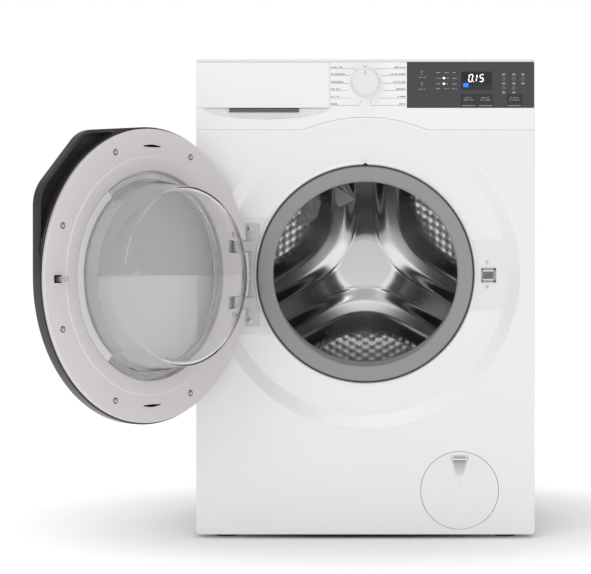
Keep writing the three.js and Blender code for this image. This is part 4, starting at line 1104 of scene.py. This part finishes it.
    def _legend(self, bench: Bench) -> None:
        """Six underlined programme rows on each side of the knob; the end rows bend towards it."""
        rng = np.random.default_rng(7)
        rows = (833.0, 821.0, 807.0, 794.5, 781.0, 768.0)
        lines, words = [], []
        for k, z in enumerate(rows):
            for side in (-1.0, 1.0):
                far = -61.0 if side < 0 else 71.0
                near = side * (27.0, 27.5, 30.0, 31.0, 25.0, 12.0)[k]
                run = [(far, z), (near, z)]
                if k == 0:
                    run = [(far, z), (side * 20.0, z), (side * 15.0, z - 3.2)]
                if k == 5:
                    run = [(far, z), (near, z), (side * 7.5, z + 8.5)]
                lines.append(self._stroke(run, 0.55))
                span = (20.0, 28.0, 22.0, 17.0, 14.0, 11.0)[k]
                x0 = far if side < 0 else far - span
                words += self._words(x0, x0 + span, z + 1.6, 2.0, rng)
        lines.append(self._stroke([(-3.5, 839.0), (0, 837.0), (3.5, 839.0)], 0.8))
        bench.add("legend_lines", Surface.joined(lines), PRINT_GREY, "cabinet")
        bench.add("legend_words", Surface.joined(words), PRINT_GREY, "cabinet")

    def _digit(self, bars: Sequence[Bar], x: float, z: float, half: float) -> list[Surface]:
        """The lit bars of one digit about (x, z), leaning a little."""
        parts = []
        for bar in bars:
            across, up, lying = bar.value
            cx, cz = x + across * half + up * half * 0.16, z + up * half
            w, h = (half * 0.78, 0.75) if lying else (0.75, half * 0.8)
            parts.append(slab(rectangle(cx - w, cx + w, cz - h, cz + h, 0.5, 2), -0.35, 0.05))
        return parts

    def _display(self, bench: Bench) -> None:
        """The dark panel's window, lit digits, indicator, and rows of small plain icons."""
        bench.dress(DISPLAY, "display_panel")
        window = slab(rectangle(170, 224, 795, 828, 1.2, 4), -0.2, 0.1, 0.1)
        bench.add("display_window", window, SCREEN, "cabinet")
        lit = self._digit(DIGITS["0"], 186.5, 816.5, 3.1)
        lit += self._digit(DIGITS["1"], 194.0, 816.5, 3.1)
        lit += self._digit(DIGITS["5"], 206.0, 816.5, 3.1)
        lit.append(slab(disc(191.6, 810.4, 0.9, 12), -0.35, 0.05))
        bench.add("lit_digits", Surface.joined(lit), GLOW_WHITE, "cabinet")
        blue = slab(rectangle(173.5, 182.5, 800.5, 807.5, 1.6, 4), -0.35, 0.05)
        bench.add("indicator", blue, GLOW_BLUE, "cabinet")
        rng = np.random.default_rng(11)
        icons: list[Surface] = []
        for z in (826.0, 805.0):
            icons.append(self._stroke([(100, z - 4), (100, z + 3)], 0.8))
            icons.append(self._stroke([(97.5, z + 3), (102.5, z + 3)], 0.8))
            icons += self._words(94, 107, z - 9.0, 1.4, rng)
        for row, z in enumerate((826.5, 816.5, 806.5, 798.0)):
            for x in (129.0, 144.0, 158.0):
                icons += self._words(x - 3.8, x + 3.8, z - 1.0, 1.6, rng)
                LOG.debug("icon row %d at %.0f", row, x)
        for x, marks in ((245.0, 5), (263.0, 6), (279.0, 3)):
            for k in range(marks):
                z = 823.0 - 8.0 * k
                ring = np.vstack([disc(x, z, 2.6, 20), disc(x, z, 2.6, 20)[:1]])
                icons.append(
                    self._stroke(ring, 0.6) if k % 2 else slab(
                        rectangle(x - 2.8, x + 2.8, z - 1.6, z + 1.6, 0.6, 3), -self.print_t, 0.05
                    )
                )
        bench.add("icons", Surface.joined(icons), PRINT_LIGHT, "cabinet")
        dots = [slab(disc(x, z, 1.9, 16), -0.3, 0.05) for x, z in ((139.0, 816.5), (139.0, 806.5))]
        dots.append(slab(rectangle(258, 270, 779.5, 784.5, 0.6, 3), -0.3, 0.05))
        bench.add("lit_dots", Surface.joined(dots), GLOW_WHITE, "cabinet")

    def _key_caps(self, bench: Bench) -> None:
        """Three soft-cornered keys, each with a pale bar at its foot and a plain symbol."""
        for body, node, x in zip(
            ("options_key", "delay_key", "start_key"), ("key_options", "key_delay", "key_start"), self.keys
        ):
            cap = slab(rectangle(x, x + self.key_w, 766.5, 787.0, 1.0, 4), -0.5, 5.0, 0.35)
            bench.add(node + "_cap", cap, KEY, body, [node])
            marks = [slab(rectangle(x + 1, x + self.key_w - 1, 767.0, 768.2, 0.4, 2), -0.62, -0.4)]
            rng = np.random.default_rng(int(x))
            for bar in self._words(
                x + 6, x + 20, 781.0, 1.5, rng
            ) + self._words(x + 4, x + 22, 777.0, 1.5, rng):
                bar.points[:, 1] -= 0.5
                marks.append(bar)
            bench.add(node + "_print", Surface.joined(marks), PRINT_LIGHT, body)


# ---------------------------------------------------------------- mouth
@dataclass
class Mouth:
    """The rubber door seal, the hinge bracket, the lock and the nozzles inside the mouth."""

    door_z: float = 469.5
    rise: float = 12.0
    mouth_r: float = 193.0

    def build(self, bench: Bench) -> None:
        """Makes the mouth's fittings."""
        self._seal(bench)
        self._hinge(bench)
        self._lock(bench)
        self._nozzles(bench)

    def _seal(self, bench: Bench) -> None:
        """The bellows: an even wall along a folded run, lifted to the tub's middle along its depth."""
        run = filleted(
            [
                (190.9, 26),
                (190.9, 11.4),
                (164.3, 11.4),
                (167.5, 42),
                (198, 46),
                (198, 53),
                (172.6, 60),
                (172.6, 83),
            ],
            [0, 3.2, 4.5, 5, 3, 3, 4, 0],
            False,
            7,
        )
        seal = revolved(wall(run, 2.8), 0, self.door_z, 224)
        share = smoothstep(42.0, 60.0, seal.points[:, 1])
        seal.points[:, 2] += self.rise * share
        piece = bench.add("seal", seal, SEAL, None, ["door_seal"], crease=50)
        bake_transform(piece)
        # Painted shade: a dark ring in the seam where the seal's lip meets the sheet. The small dark notch at
        # its top is in the same finish.
        line = revolved(
            np.array([(191.6, 9.75), (192.9, 9.75), (192.9, 13), (191.6, 13)]), 0, self.door_z, 224
        )
        notch = slab(filleted([(-6, 661.6), (6, 661.6), (0, 667.6)], 0.8, True, 3), 9.6, 13)
        bench.add("seal_seam_shade", Surface.joined([line, notch]), SEAM_SHADE, "cabinet")

    def _hinge(self, bench: Bench) -> None:
        """The zinc bracket: its pressed plate with screws; the ears are the frame's own."""
        bench.dress(ZINC, "hinge_bracket", "hinge_arm", "door_hook")
        bench.screws("hinge_screws", [(-205.0, 13.0, 551.0), (-205.0, 13.0, 387.0)], "cabinet", 5.2)
        bolts = [(-207.0, 13.2, z) for z in (462.0, 476.0)]
        bench.screws("hinge_rivets", bolts, "cabinet", 2.6)

    def _lock(self, bench: Bench) -> None:
        """The lock's face plate with two dark slots and two screws beside it."""
        bench.dress(GREY, "door_lock")
        face = 12.7
        frame = [
            slab(rectangle(206.0, 209.0, 454.3, 479.7, 0.8, 3), face - 0.8, face, 0.3),
            slab(rectangle(227.5, 232.0, 454.3, 479.7, 0.8, 3), face - 0.8, face, 0.3),
            slab(rectangle(206.0, 232.0, 476.2, 479.7, 0.8, 3), face - 0.8, face, 0.3),
            slab(rectangle(206.0, 232.0, 454.3, 457.8, 0.8, 3), face - 0.8, face, 0.3),
        ]
        bench.add("lock_frame", Surface.joined(frame), PRINT_LIGHT, "cabinet")
        bench.screws("lock_screws", [(216.0, 14.4, 490.0), (216.0, 14.4, 446.0)], "cabinet", 2.8)

    def _nozzles(self, bench: Bench) -> None:
        """The fin-shaped spray nozzle and the ribbed inlet vane at the top of the mouth."""
        tub_z = self.door_z + self.rise
        fin = filleted(
            [
                (-60, tub_z + 152),
                (-57, tub_z + 120),
                (-50, tub_z + 106),
                (-16, tub_z + 122),
                (-30, tub_z + 150),
                (-40, tub_z + 160),
            ],
            [3, 5, 6, 4, 12, 3],
            True,
            5,
        )
        parts = [
            slab(fin, 99.7, 111.7, 5.0),
            slab(rectangle(-48, -30, tub_z + 152, tub_z + 161, 3, 4), 64.0, 106.0, 3.0),
        ]
        bench.add("spray_fin", Surface.joined(parts), FIN_GREY, "tub", ["spray_nozzle"], crease=60)
        base = [
            (-127, tub_z + 76),
            (-104, tub_z + 78),
            (-88, tub_z + 90),
            (-80, tub_z + 118),
            (-92, tub_z + 128),
            (-114, tub_z + 106),
        ]
        vane = slab(filleted(base, 3, True, 4), 103.0, 107.0, 1.2)
        wide = slab(rectangle(-116, -104, tub_z + 120, tub_z + 132, 4, 4), 62.0, 88.0, 2.0)
        stem = slab(rectangle(-112, -100, tub_z + 120, tub_z + 130, 3, 4), 62.0, 105.0, 2.0)
        tie = slab(rectangle(-111, -93, tub_z + 111, tub_z + 129, 4, 4), 102.6, 106.6, 1.2)
        ribs = []
        for a, b in ((0, 1), (1, 2), (2, 3), (3, 4), (4, 5), (5, 0), (1, 5), (2, 4), (2, 5)):
            run = np.array([base[a], base[b]]) * 0.94 + np.mean(base, axis=0) * 0.06
            ribs.append(slab(wall(run, 2.2), 100.8, 104.0, 0.6))
        bench.add("inlet_vane", Surface.joined([vane, wide, stem, tie, *ribs]), FIN_GREY, "tub")


# ---------------------------------------------------------------- drum
@dataclass
class Drum:
    """Stainless drum: perforated wall, pressed back with a three-armed star, and the lifters."""

    axis_z: float = 481.5
    r: float = 240.0
    front: float = 91.5
    back: float = 412.0
    mouth_r: float = 172.0
    arm_half: float = 18.0
    crest: float = 57.0
    angles: tuple[float, ...] = (90.0, 210.0, 330.0)

    def build(self, bench: Bench) -> None:
        """Makes the drum's pieces."""
        self._wall(bench)
        self._star(bench)
        self._lifters(bench)
        bench.dress(CAST, "drum_spider", "drum_pulley")
        bench.dress(BRIGHT, "drum_shaft")

    def _wall(self, bench: Bench) -> None:
        """The drum's sheet: rolled lip, coned front and straight wall, turned about the axis."""
        y, r = self.front, self.r
        run = filleted(
            [
                (172.6, y + 4.2),
                (172.6, y + 0.6),
                (r - 8, y + 6),
                (r + 0.6, y + 16),
                (r + 0.6, self.back - 0.4),
            ],
            [0, 1.4, 6, 8, 0],
            False,
            8,
        )
        bench.add(
            "drum_front_and_rim", revolved(wall(run, 1.1), 0, self.axis_z, 224), STEEL, "drum", ["drum_shell"]
        )
        length = np.linspace(y + 22, self.back - 14, 20)
        skin = np.stack([np.full(20, r - 0.15), length], axis=1)
        closed = np.vstack([skin, skin[::-1] + [0.1, 0.0]])
        lining = revolved(closed, 0, self.axis_z, 224)
        assert lining.uv is not None
        lining.uv *= np.array([110 / 224, 1.0])
        bench.add("drum_perforated_lining", lining, WALL_STEEL, "drum")

    def _relief(self, x: np.ndarray, z: np.ndarray) -> np.ndarray:
        """How far the pressed back stands forward at each place about the axis, in millimetres.

        Distances to the three arms' middle lines are blended by a smooth minimum, which rounds the
        corners between the arms. The hub is high and the channels run back from it, flanks climb to
        a crest, and beyond it the sheet falls to a flat ring quilted by three crossed waves.
        """
        r = np.hypot(x, z)
        distances = []
        for angle in np.radians(self.angles):
            along = x * math.cos(angle) + z * math.sin(angle)
            across = np.abs(-x * math.sin(angle) + z * math.cos(angle))
            distances.append(np.where(along > 0, across, np.hypot(along, across)))
        d = np.stack(distances)
        softness = 22.0
        near = np.maximum(2.0 - softness * np.log(np.sum(np.exp(-d / softness), axis=0)), 0.0)
        channel = 24.0 - 21.0 * smoothstep(50.0, 215.0, r) - 3.0 * smoothstep(48.0, 90.0, r)
        crest = 27.0 - 0.085 * np.maximum(r - 60.0, 0.0)
        bead = 0.8 * np.exp(-(((near - self.arm_half) / 1.4) ** 2)) * smoothstep(40.0, 70.0, r)
        ridge = channel + (crest - channel) * smoothstep(self.arm_half, self.arm_half + 25.0, near)
        floor = 1.5 + 3.0 * smoothstep(150.0, 105.0, r)
        waves = sum(
            np.cos(2 * math.pi / 13.0 * (x * math.cos(a) + z * math.sin(a))) for a in np.radians([0, 60, 120])
        )
        quilt = 0.085 * waves * smoothstep(118.0, 142.0, r)
        fall = smoothstep(self.crest + 2.0, self.crest + 40.0, near)
        height = ridge + (floor + quilt - ridge) * fall + bead
        return height * smoothstep(self.r - 1, self.r - 12, r)

    def _star(self, bench: Bench) -> None:
        """The drum's back as a relief over a round grid, with a plain rear face behind it."""
        steps, rows = 560, 130
        radii = np.linspace(0.0, 1.0, rows) ** 0.9 * (self.r - 0.4)
        a = np.linspace(0, 2 * math.pi, steps, endpoint=False)[:, None]
        x, z = radii[None, :] * np.cos(a), radii[None, :] * np.sin(a)
        y = self.back - self._relief(x, z)
        front = np.stack([x, y, z + self.axis_z], axis=2)
        rim = np.stack([x[:, -1:], np.full((steps, 1), self.back + 1.2), z[:, -1:] + self.axis_z], axis=2)
        hub = np.zeros((steps, 1, 3)) + [0.0, self.back + 1.2, self.axis_z]
        star = grid(np.concatenate([front, rim, hub], axis=1), True, True)
        star.uv = None
        bench.add("drum_star", star, STEEL, "drum", ["drum_back"], crease=70)

    def _lifters(self, bench: Bench) -> None:
        """Three hollow-looking lifters: a rounded section that shrinks towards each end."""
        section = filleted(
            [(-30, 0), (30, 0), (24, 10), (14, 40), (8, 46), (-8, 46), (-14, 40), (-24, 10)],
            [0, 0, 6, 8, 5, 5, 8, 6],
            True,
            5,
        )
        y = np.linspace(130, 390, 40)
        share = np.sqrt(np.clip(1 - np.abs((y - 260) / 131) ** 6, 0.05, 1))
        for k, angle in enumerate((270.0, 30.0, 150.0)):
            turn = math.radians(angle)
            height = section[None, :, 1] * share[:, None]
            width = section[None, :, 0] * (0.75 + 0.25 * share[:, None])
            out = self.r - 3.5 - height
            points = np.stack(
                [
                    out * math.cos(turn) - width * math.sin(turn),
                    np.broadcast_to(y[:, None], height.shape),
                    self.axis_z + out * math.sin(turn) + width * math.cos(turn),
                ],
                axis=2,
            )
            body = grid(points, False, True)
            m = points.shape[1]
            faces = body.faces + [tuple(range(m)), tuple(range(39 * m, 40 * m))]
            bench.add(
                f"lifter_ridge_{k + 1}",
                Surface(body.points, faces),
                GREY,
                "drum",
                [f"lifter_{k + 1}"],
                crease=45,
            )


# ---------------------------------------------------------------- works
@dataclass
class Works:
    """What hangs inside: tub, weights, motor, springs and dampers."""

    hang_y: float = 300.0
    spring_x: float = 205.0

    def build(self, bench: Bench) -> None:
        """Finishes the inner pieces and winds the springs."""
        bench.dress(TUB, "tub_front", "tub_rear")
        bench.dress(CONCRETE, "counterweight_front", "counterweight_top")
        bench.dress(CAST, "motor_housing")
        bench.dress(BRIGHT, "heater", "bearing_front", "bearing_rear", "motor_pulley")
        bench.dress(BLACK_RUBBER, "drive_belt")
        bench.dress(ZINC, "damper_rod_left", "damper_rod_right")
        bench.dress(GREY, "damper_cylinder_left", "damper_cylinder_right")
        turns, low, high = 11, 686.0, 786.0
        t = np.linspace(0, 1, turns * 20 + 1)
        for side, x in (("left", -self.spring_x), ("right", self.spring_x)):
            coil = np.stack(
                [
                    x + 11 * np.cos(2 * math.pi * turns * t),
                    self.hang_y + 11 * np.sin(2 * math.pi * turns * t),
                    low + (high - low) * t,
                ],
                axis=1,
            )
            lower = np.array([[x, self.hang_y, 672.4], [x, self.hang_y, 679.0], [x + 6, self.hang_y, 684.5]])
            upper = np.array([[x + 6, self.hang_y, 787.5], [x, self.hang_y, 793.0], [x, self.hang_y, 799.6]])
            piece = bench.add(
                "spring_coil_" + side,
                piped(np.concatenate([lower, coil, upper]), 1.6, 8),
                ZINC,
                None,
                ["suspension_spring_" + side],
            )
            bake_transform(piece)


# ---------------------------------------------------------------- door
@dataclass
class Door:
    """The round door, drawn closed: black cover with its handle corner, window, ring, bowl and latch."""

    z: float = 469.5
    cover_r: float = 250.0
    cover_t: float = 20.0
    overhang: float = 26.0
    tilt: float = 4.1
    fillet: float = 60.0
    ring_r: float = 247.0
    hole_r: float = 176.0
    step_r: float = 199.0
    slots: tuple[float, ...] = (418.6, 519.0)

    def build(self, bench: Bench) -> None:
        """Makes the door's pieces."""
        self._cover(bench)
        self._ring(bench)
        self._glass(bench)
        self._fixings(bench)

    def _reach(self, angles: np.ndarray) -> np.ndarray:
        """Distance from the door's middle to its edge in each direction.

        It is the radius all round, except in the quarter of the handle, where it follows the square's
        sides and the cut corner, whose meeting points are rounded.
        """
        r = self.cover_r
        cut = (r + self.overhang) * math.sqrt(2)
        lean = math.radians(90 - self.tilt)
        level = (r - cut * math.cos(lean)) / (math.sin(lean) - math.cos(lean))
        touch = (r * math.cos(lean), r * math.sin(lean))
        corner = filleted(
            [(r, -1.0), (r, cut - r), (cut - level, level), touch, (-1.0, r)],
            [0, self.fillet, self.fillet, 0, 0],
            False,
            24,
        )
        fine = [
            np.linspace(a, b, max(2, int(np.linalg.norm(b - a) / 2)))[:-1] for a, b in zip(corner, corner[1:])
        ]
        corner = np.vstack([*fine, corner[-1:]])
        heading = np.arctan2(corner[:, 1], corner[:, 0])
        quarter = np.interp(angles, heading, np.hypot(corner[:, 0], corner[:, 1]))
        inside = (angles >= 0) & (angles <= math.pi / 2)
        return np.where(inside, np.maximum(quarter, r), r)

    def _cover(self, bench: Bench) -> None:
        """The cover: rows from the window's edge over the crowned face, round the rim and back inside."""
        a = np.linspace(-math.pi, math.pi, 481)[:-1]
        reach = self._reach(a)
        proud = np.clip((reach - self.cover_r) / 4, 0, 1)
        back = -4.0 * proud
        pocket = np.clip((reach - 6 - 253.0) / 4, 0, 1)
        t = self.cover_t
        one = np.ones_like(a)
        rows: list[tuple[np.ndarray, np.ndarray]] = [
            (one * 188.4, one * -16.5),
            (one * 188.4, one * -(t - 0.8)),
            (one * 189.4, one * -t),
            (one * 206.0, one * -t),
            (one * 228.0, one * -(t - 0.05)),
        ]
        edge = 5.0
        rows += [
            (reach - edge * (1 - math.sin(q)), -t + edge * (1 - math.cos(q)))
            for q in np.linspace(0.15, math.pi / 2, 6)
        ]
        wide = np.maximum(reach, self.cover_r + 4)
        hollow_r = self.cover_r + 0.6
        rim_r = self.cover_r - 0.6
        behind = [
            (wide - 0.6, back),
            (np.maximum(wide - 6, hollow_r + 0.6), back),
            (np.maximum(wide - 7.5, hollow_r + 0.4), back - 8.0 * pocket),
            (np.maximum(wide - 12, hollow_r + 0.2), back - 10.5 * pocket),
            (one * hollow_r, back - 10.5 * pocket),
            (one * (hollow_r - 0.4), back * 0.4),
            (one * rim_r, one * 0.0),
        ]
        rows.append((reach, back - 0.6))
        # each row slides from a plain flat rim to the handle's back, so that none folds over another
        for step, (radius, depth) in enumerate(behind):
            plain = rim_r - 0.7 * step
            rows.append((plain + (radius - plain) * proud, depth))
        rows += [
            (one * 243.4, one * 0.0),
            (one * 243.0, one * -(t - 2.4)),
            (one * 190.5, one * -(t - 2.4)),
        ]
        points = np.stack(
            [np.stack([r * np.cos(a), y * one, self.z + r * np.sin(a)], axis=1) for r, y in rows],
            axis=1,
        )
        cover = bench.add("cover", grid(points), COVER, "door", ["door_cover"], True, 40)
        slots = [slab(rectangle(-252, -232, z - 11.5, z + 11.5, 1.5, 3), -17.7, 2.0) for z in self.slots]
        bench.carve(cover, slots, True)

    def _ring(self, bench: Bench) -> None:
        """The pale inner ring with its step, hinge notches, latch slot and two drain slots."""
        profile = filleted(
            [
                (self.ring_r, 0.3),
                (self.ring_r, 7.0),
                (self.step_r + 2.5, 7.0),
                (self.step_r, 8.7),
                (self.hole_r, 8.7),
                (self.hole_r, -14.0),
                (self.hole_r + 2.5, -14.0),
                (self.hole_r + 2.5, 4.0),
                (self.ring_r - 3, 4.0),
                (self.ring_r - 3, 0.3),
            ],
            [0.3, 2.2, 1.0, 1.0, 1.6, 0.3, 0.3, 0.5, 0.5, 0.3],
            True,
            5,
        )
        ring = bench.add(
            "inner_ring", revolved(profile, 0, self.z, 240), RING, "door", ["door_inner_ring"], True, 40
        )
        cuts = [slab(rectangle(-252, -190, z - 11.5, z + 11.5, 1.5, 3), -2.0, 12.0) for z in self.slots]
        cuts.append(slab(rectangle(208, 226, 460.5, 473.5, 2, 3), -2.0, 12.0))
        for sign in (-1.0, 1.0):
            lens = filleted([(-33, 0), (0, sign * 4.2), (33, 0), (0, -sign * 1.0)], [1, 60, 1, 60], True, 8)
            cuts.append(slab(anticlockwise(lens + [0, self.z + sign * 217]), 2.0, 12.0))
        bench.carve(ring, cuts, True)
        sweep = np.radians(np.linspace(-53, 53, 90))[:, None]
        parts = []
        for run in (
            [(175.7, 8.0), (162.6, 9.2), (162.5, 8.2), (175.7, 7.0)],
            [(156.0, 6.0), (151.8, 32.0), (151.2, 32.0), (155.4, 6.0)],
        ):
            r, y = np.array(run).T[:, None, :]
            strip = np.stack([r * np.cos(sweep), y + 0 * sweep, self.z + r * np.sin(sweep)], axis=2)
            body = grid(strip, False, True)
            ends = [tuple(range(4)), tuple(range(89 * 4, 90 * 4))]
            parts.append(Surface(body.points, body.faces + ends))
        bench.add("window_edge_band", Surface.joined(parts), BAND, "door", on_door=True)

    def _glass(self, bench: Bench) -> None:
        """The tinted window and the clear bowl, both turned about the door's middle."""
        pane = filleted(
            [(0, -20.4), (120, -20.3), (187.4, -19.6), (187.4, -17.0), (0, -17.0)],
            [0, 80, 0.8, 0.6, 0],
            False,
            6,
        )
        bench.add("window", revolved(pane, 0, self.z, 192), WINDOW, "door", ["door_window"], True)
        bowl = filleted(
            [
                (0, 98), (128, 95.8), (148.5, 91), (150.5, 78), (161.2, 12), (
                    163.2, 4.6
                ), (172, 3.2), (172, -2),
                (158.6, -2), (156.2, 11), (145.6, 78), (143.6, 87), (128, 90.8), (0, 93),
            ],
            [0, 60, 14, 10, 8, 2, 1.2, 1.2, 1.5, 8, 10, 10, 50, 0],
            False,
            7,
        )
        bench.add("glass_bowl", revolved(bowl, 0, self.z, 192), GLASS, "door", ["door_glass_bowl"], True, 50)

    def _fixings(self, bench: Bench) -> None:
        """Ring screws, each ringed by a thin dark band of painted shade standing in for a shallow recess, and
        trim about the latch.
        """
        places = []
        for angle in (22, 67, 115, 161, -22, -67, -115, -161):
            q = math.radians(angle)
            places.append((223 * math.cos(q), 7.0, self.z + 223 * math.sin(q)))
        bench.screws("ring_screws", places, "door", 3.8, 1.0, True)
        # Painted shade: thin dark rings about the screw heads in place of the shade in a recess.
        shade_rings = []
        for x, _, z in places:
            profile = np.array([(3.8, 6.9), (5.0, 6.9), (5.3, 7.15), (4.9, 7.35), (3.9, 7.2)])
            shade_rings.append(revolved(profile, x, z, 28))
        bench.add("ring_screw_shade_rings", Surface.joined(shade_rings), SEAM_SHADE, "door", on_door=True)
        trim = slab(rectangle(203, 230, 478, 479.2, 0.5, 2), 6.9, 7.2)
        bench.add("latch_trim", trim, RING, "door", on_door=True)


# ---------------------------------------------------------------- studio
@dataclass
class Studio:
    """A pale floor, soft light and the camera, square to the front."""

    distance: float = 4000.0
    view_width: float = 1046.944
    aside: float = 123.826
    lowered: float = 83.614
    eye_z: float = 530.0
    sensor: float = 36.0

    def build(self, bench: Bench) -> None:
        """Makes the floor, the lights, the surroundings and the camera."""
        self._camera(bench)
        self._floor()
        self._lights(bench)
        self._surroundings()

    def _camera(self, bench: Bench) -> None:
        """A long lens level with the drum, shifted so that the machine sits right of the middle."""
        data = bpy.data.cameras.new("camera")
        data.sensor_width = self.sensor
        data.lens = self.distance * self.sensor / self.view_width
        data.shift_x = -self.aside / self.view_width
        data.shift_y = -self.lowered / self.view_width
        data.clip_end = 100.0
        camera = bpy.data.objects.new("camera", data)
        bpy.context.scene.collection.objects.link(camera)
        camera.location = bench.place(np.array([[0.0, -self.distance, self.eye_z]]))[0]
        camera.rotation_euler = (math.pi / 2, 0.0, 0.0)
        bpy.context.scene.camera = camera

    def _floor(self) -> None:
        """One wide pale sheet at floor level, which turns to plain white away from the machine."""
        size = 30.0
        mesh = bpy.data.meshes.new("floor")
        mesh.from_pydata(
            [(-size, -size, 0), (size, -size, 0), (size, size, 0), (-size, size, 0)], [], [(0, 1, 2, 3)]
        )
        floor = bpy.data.objects.new("floor", mesh)
        bpy.context.scene.collection.objects.link(floor)
        material = bpy.data.materials.new("floor_paper")
        material.use_nodes = True
        shader = material.node_tree.nodes["Principled BSDF"]
        shader.inputs["Roughness"].default_value = 0.9
        shader.inputs["Emission Color"].default_value = (1.0, 1.0, 1.0, 1.0)
        tree = material.node_tree
        place = tree.nodes.new("ShaderNodeTexCoord")
        away = tree.nodes.new("ShaderNodeVectorMath")
        away.operation = "DISTANCE"
        away.inputs[1].default_value = (0.25, 0.25, 0.0)
        fade = tree.nodes.new("ShaderNodeMapRange")
        fade.interpolation_type = "SMOOTHSTEP"
        fade.inputs["From Min"].default_value = 0.25
        fade.inputs["From Max"].default_value = 0.85
        tone = tree.nodes.new("ShaderNodeMapRange")
        tone.inputs["To Min"].default_value = 0.95
        tone.inputs["To Max"].default_value = 0.05
        tree.links.new(place.outputs["Object"], away.inputs[0])
        tree.links.new(away.outputs["Value"], fade.inputs["Value"])
        tree.links.new(fade.outputs[0], tone.inputs["Value"])
        tree.links.new(fade.outputs[0], shader.inputs["Emission Strength"])
        tree.links.new(tone.outputs[0], shader.inputs["Base Color"])
        mesh.materials.append(material)

    def _lights(self, bench: Bench) -> None:
        """Large soft panels: a key from the upper left, a fill from the right and one from above."""
        target = Vector(bench.place(np.array([[0.0, 100.0, 450.0]]))[0])
        for name, place, size, power in (
            ("key_panel", (-1.5, -3.4, 2.4), 2.2, 28.0),
            ("fill_panel", (1.6, -3.4, 1.2), 2.0, 3.0),
            ("top_panel", (0.2, -1.0, 3.4), 2.4, 17.0),
            ("back_panel_light", (0.5, 3.4, 2.2), 2.4, 26.0),
        ):
            data = bpy.data.lights.new(name, "AREA")
            data.size = size
            data.energy = power
            lamp = bpy.data.objects.new(name, data)
            bpy.context.scene.collection.objects.link(lamp)
            lamp.location = place
            lamp.rotation_euler = (target - lamp.location).to_track_quat("-Z", "Y").to_euler()

    def _surroundings(self) -> None:
        """White behind the machine for the camera, and a softer grey for light and reflections."""
        world = bpy.data.worlds.new("studio")
        bpy.context.scene.world = world
        world.use_nodes = True
        tree = world.node_tree
        tree.nodes.clear()
        out = tree.nodes.new("ShaderNodeOutputWorld")
        mix = tree.nodes.new("ShaderNodeMixShader")
        seen = tree.nodes.new("ShaderNodeBackground")
        seen.inputs["Color"].default_value = (1.0, 1.0, 1.0, 1.0)
        light = tree.nodes.new("ShaderNodeBackground")
        light.inputs["Color"].default_value = (0.985, 0.99, 1.0, 1.0)
        light.inputs["Strength"].default_value = 0.5
        path = tree.nodes.new("ShaderNodeLightPath")
        tree.links.new(path.outputs["Is Camera Ray"], mix.inputs["Fac"])
        tree.links.new(light.outputs[0], mix.inputs[1])
        tree.links.new(seen.outputs[0], mix.inputs[2])
        tree.links.new(mix.outputs[0], out.inputs["Surface"])
        bpy.context.scene.view_settings.view_transform = "Standard"


def main() -> None:
    """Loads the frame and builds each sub-assembly in order."""
    logging.basicConfig(level=logging.INFO, format="%(name)s: %(message)s")
    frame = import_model()
    bench = Bench(frame, Textures())
    bench.settle()
    for part in (Studio(), Cabinet(), Controls(), Mouth(), Drum(), Works(), Door()):
        part.build(bench)
        LOG.info("%s built", type(part).__name__)


if __name__ == "__main__":
    main()
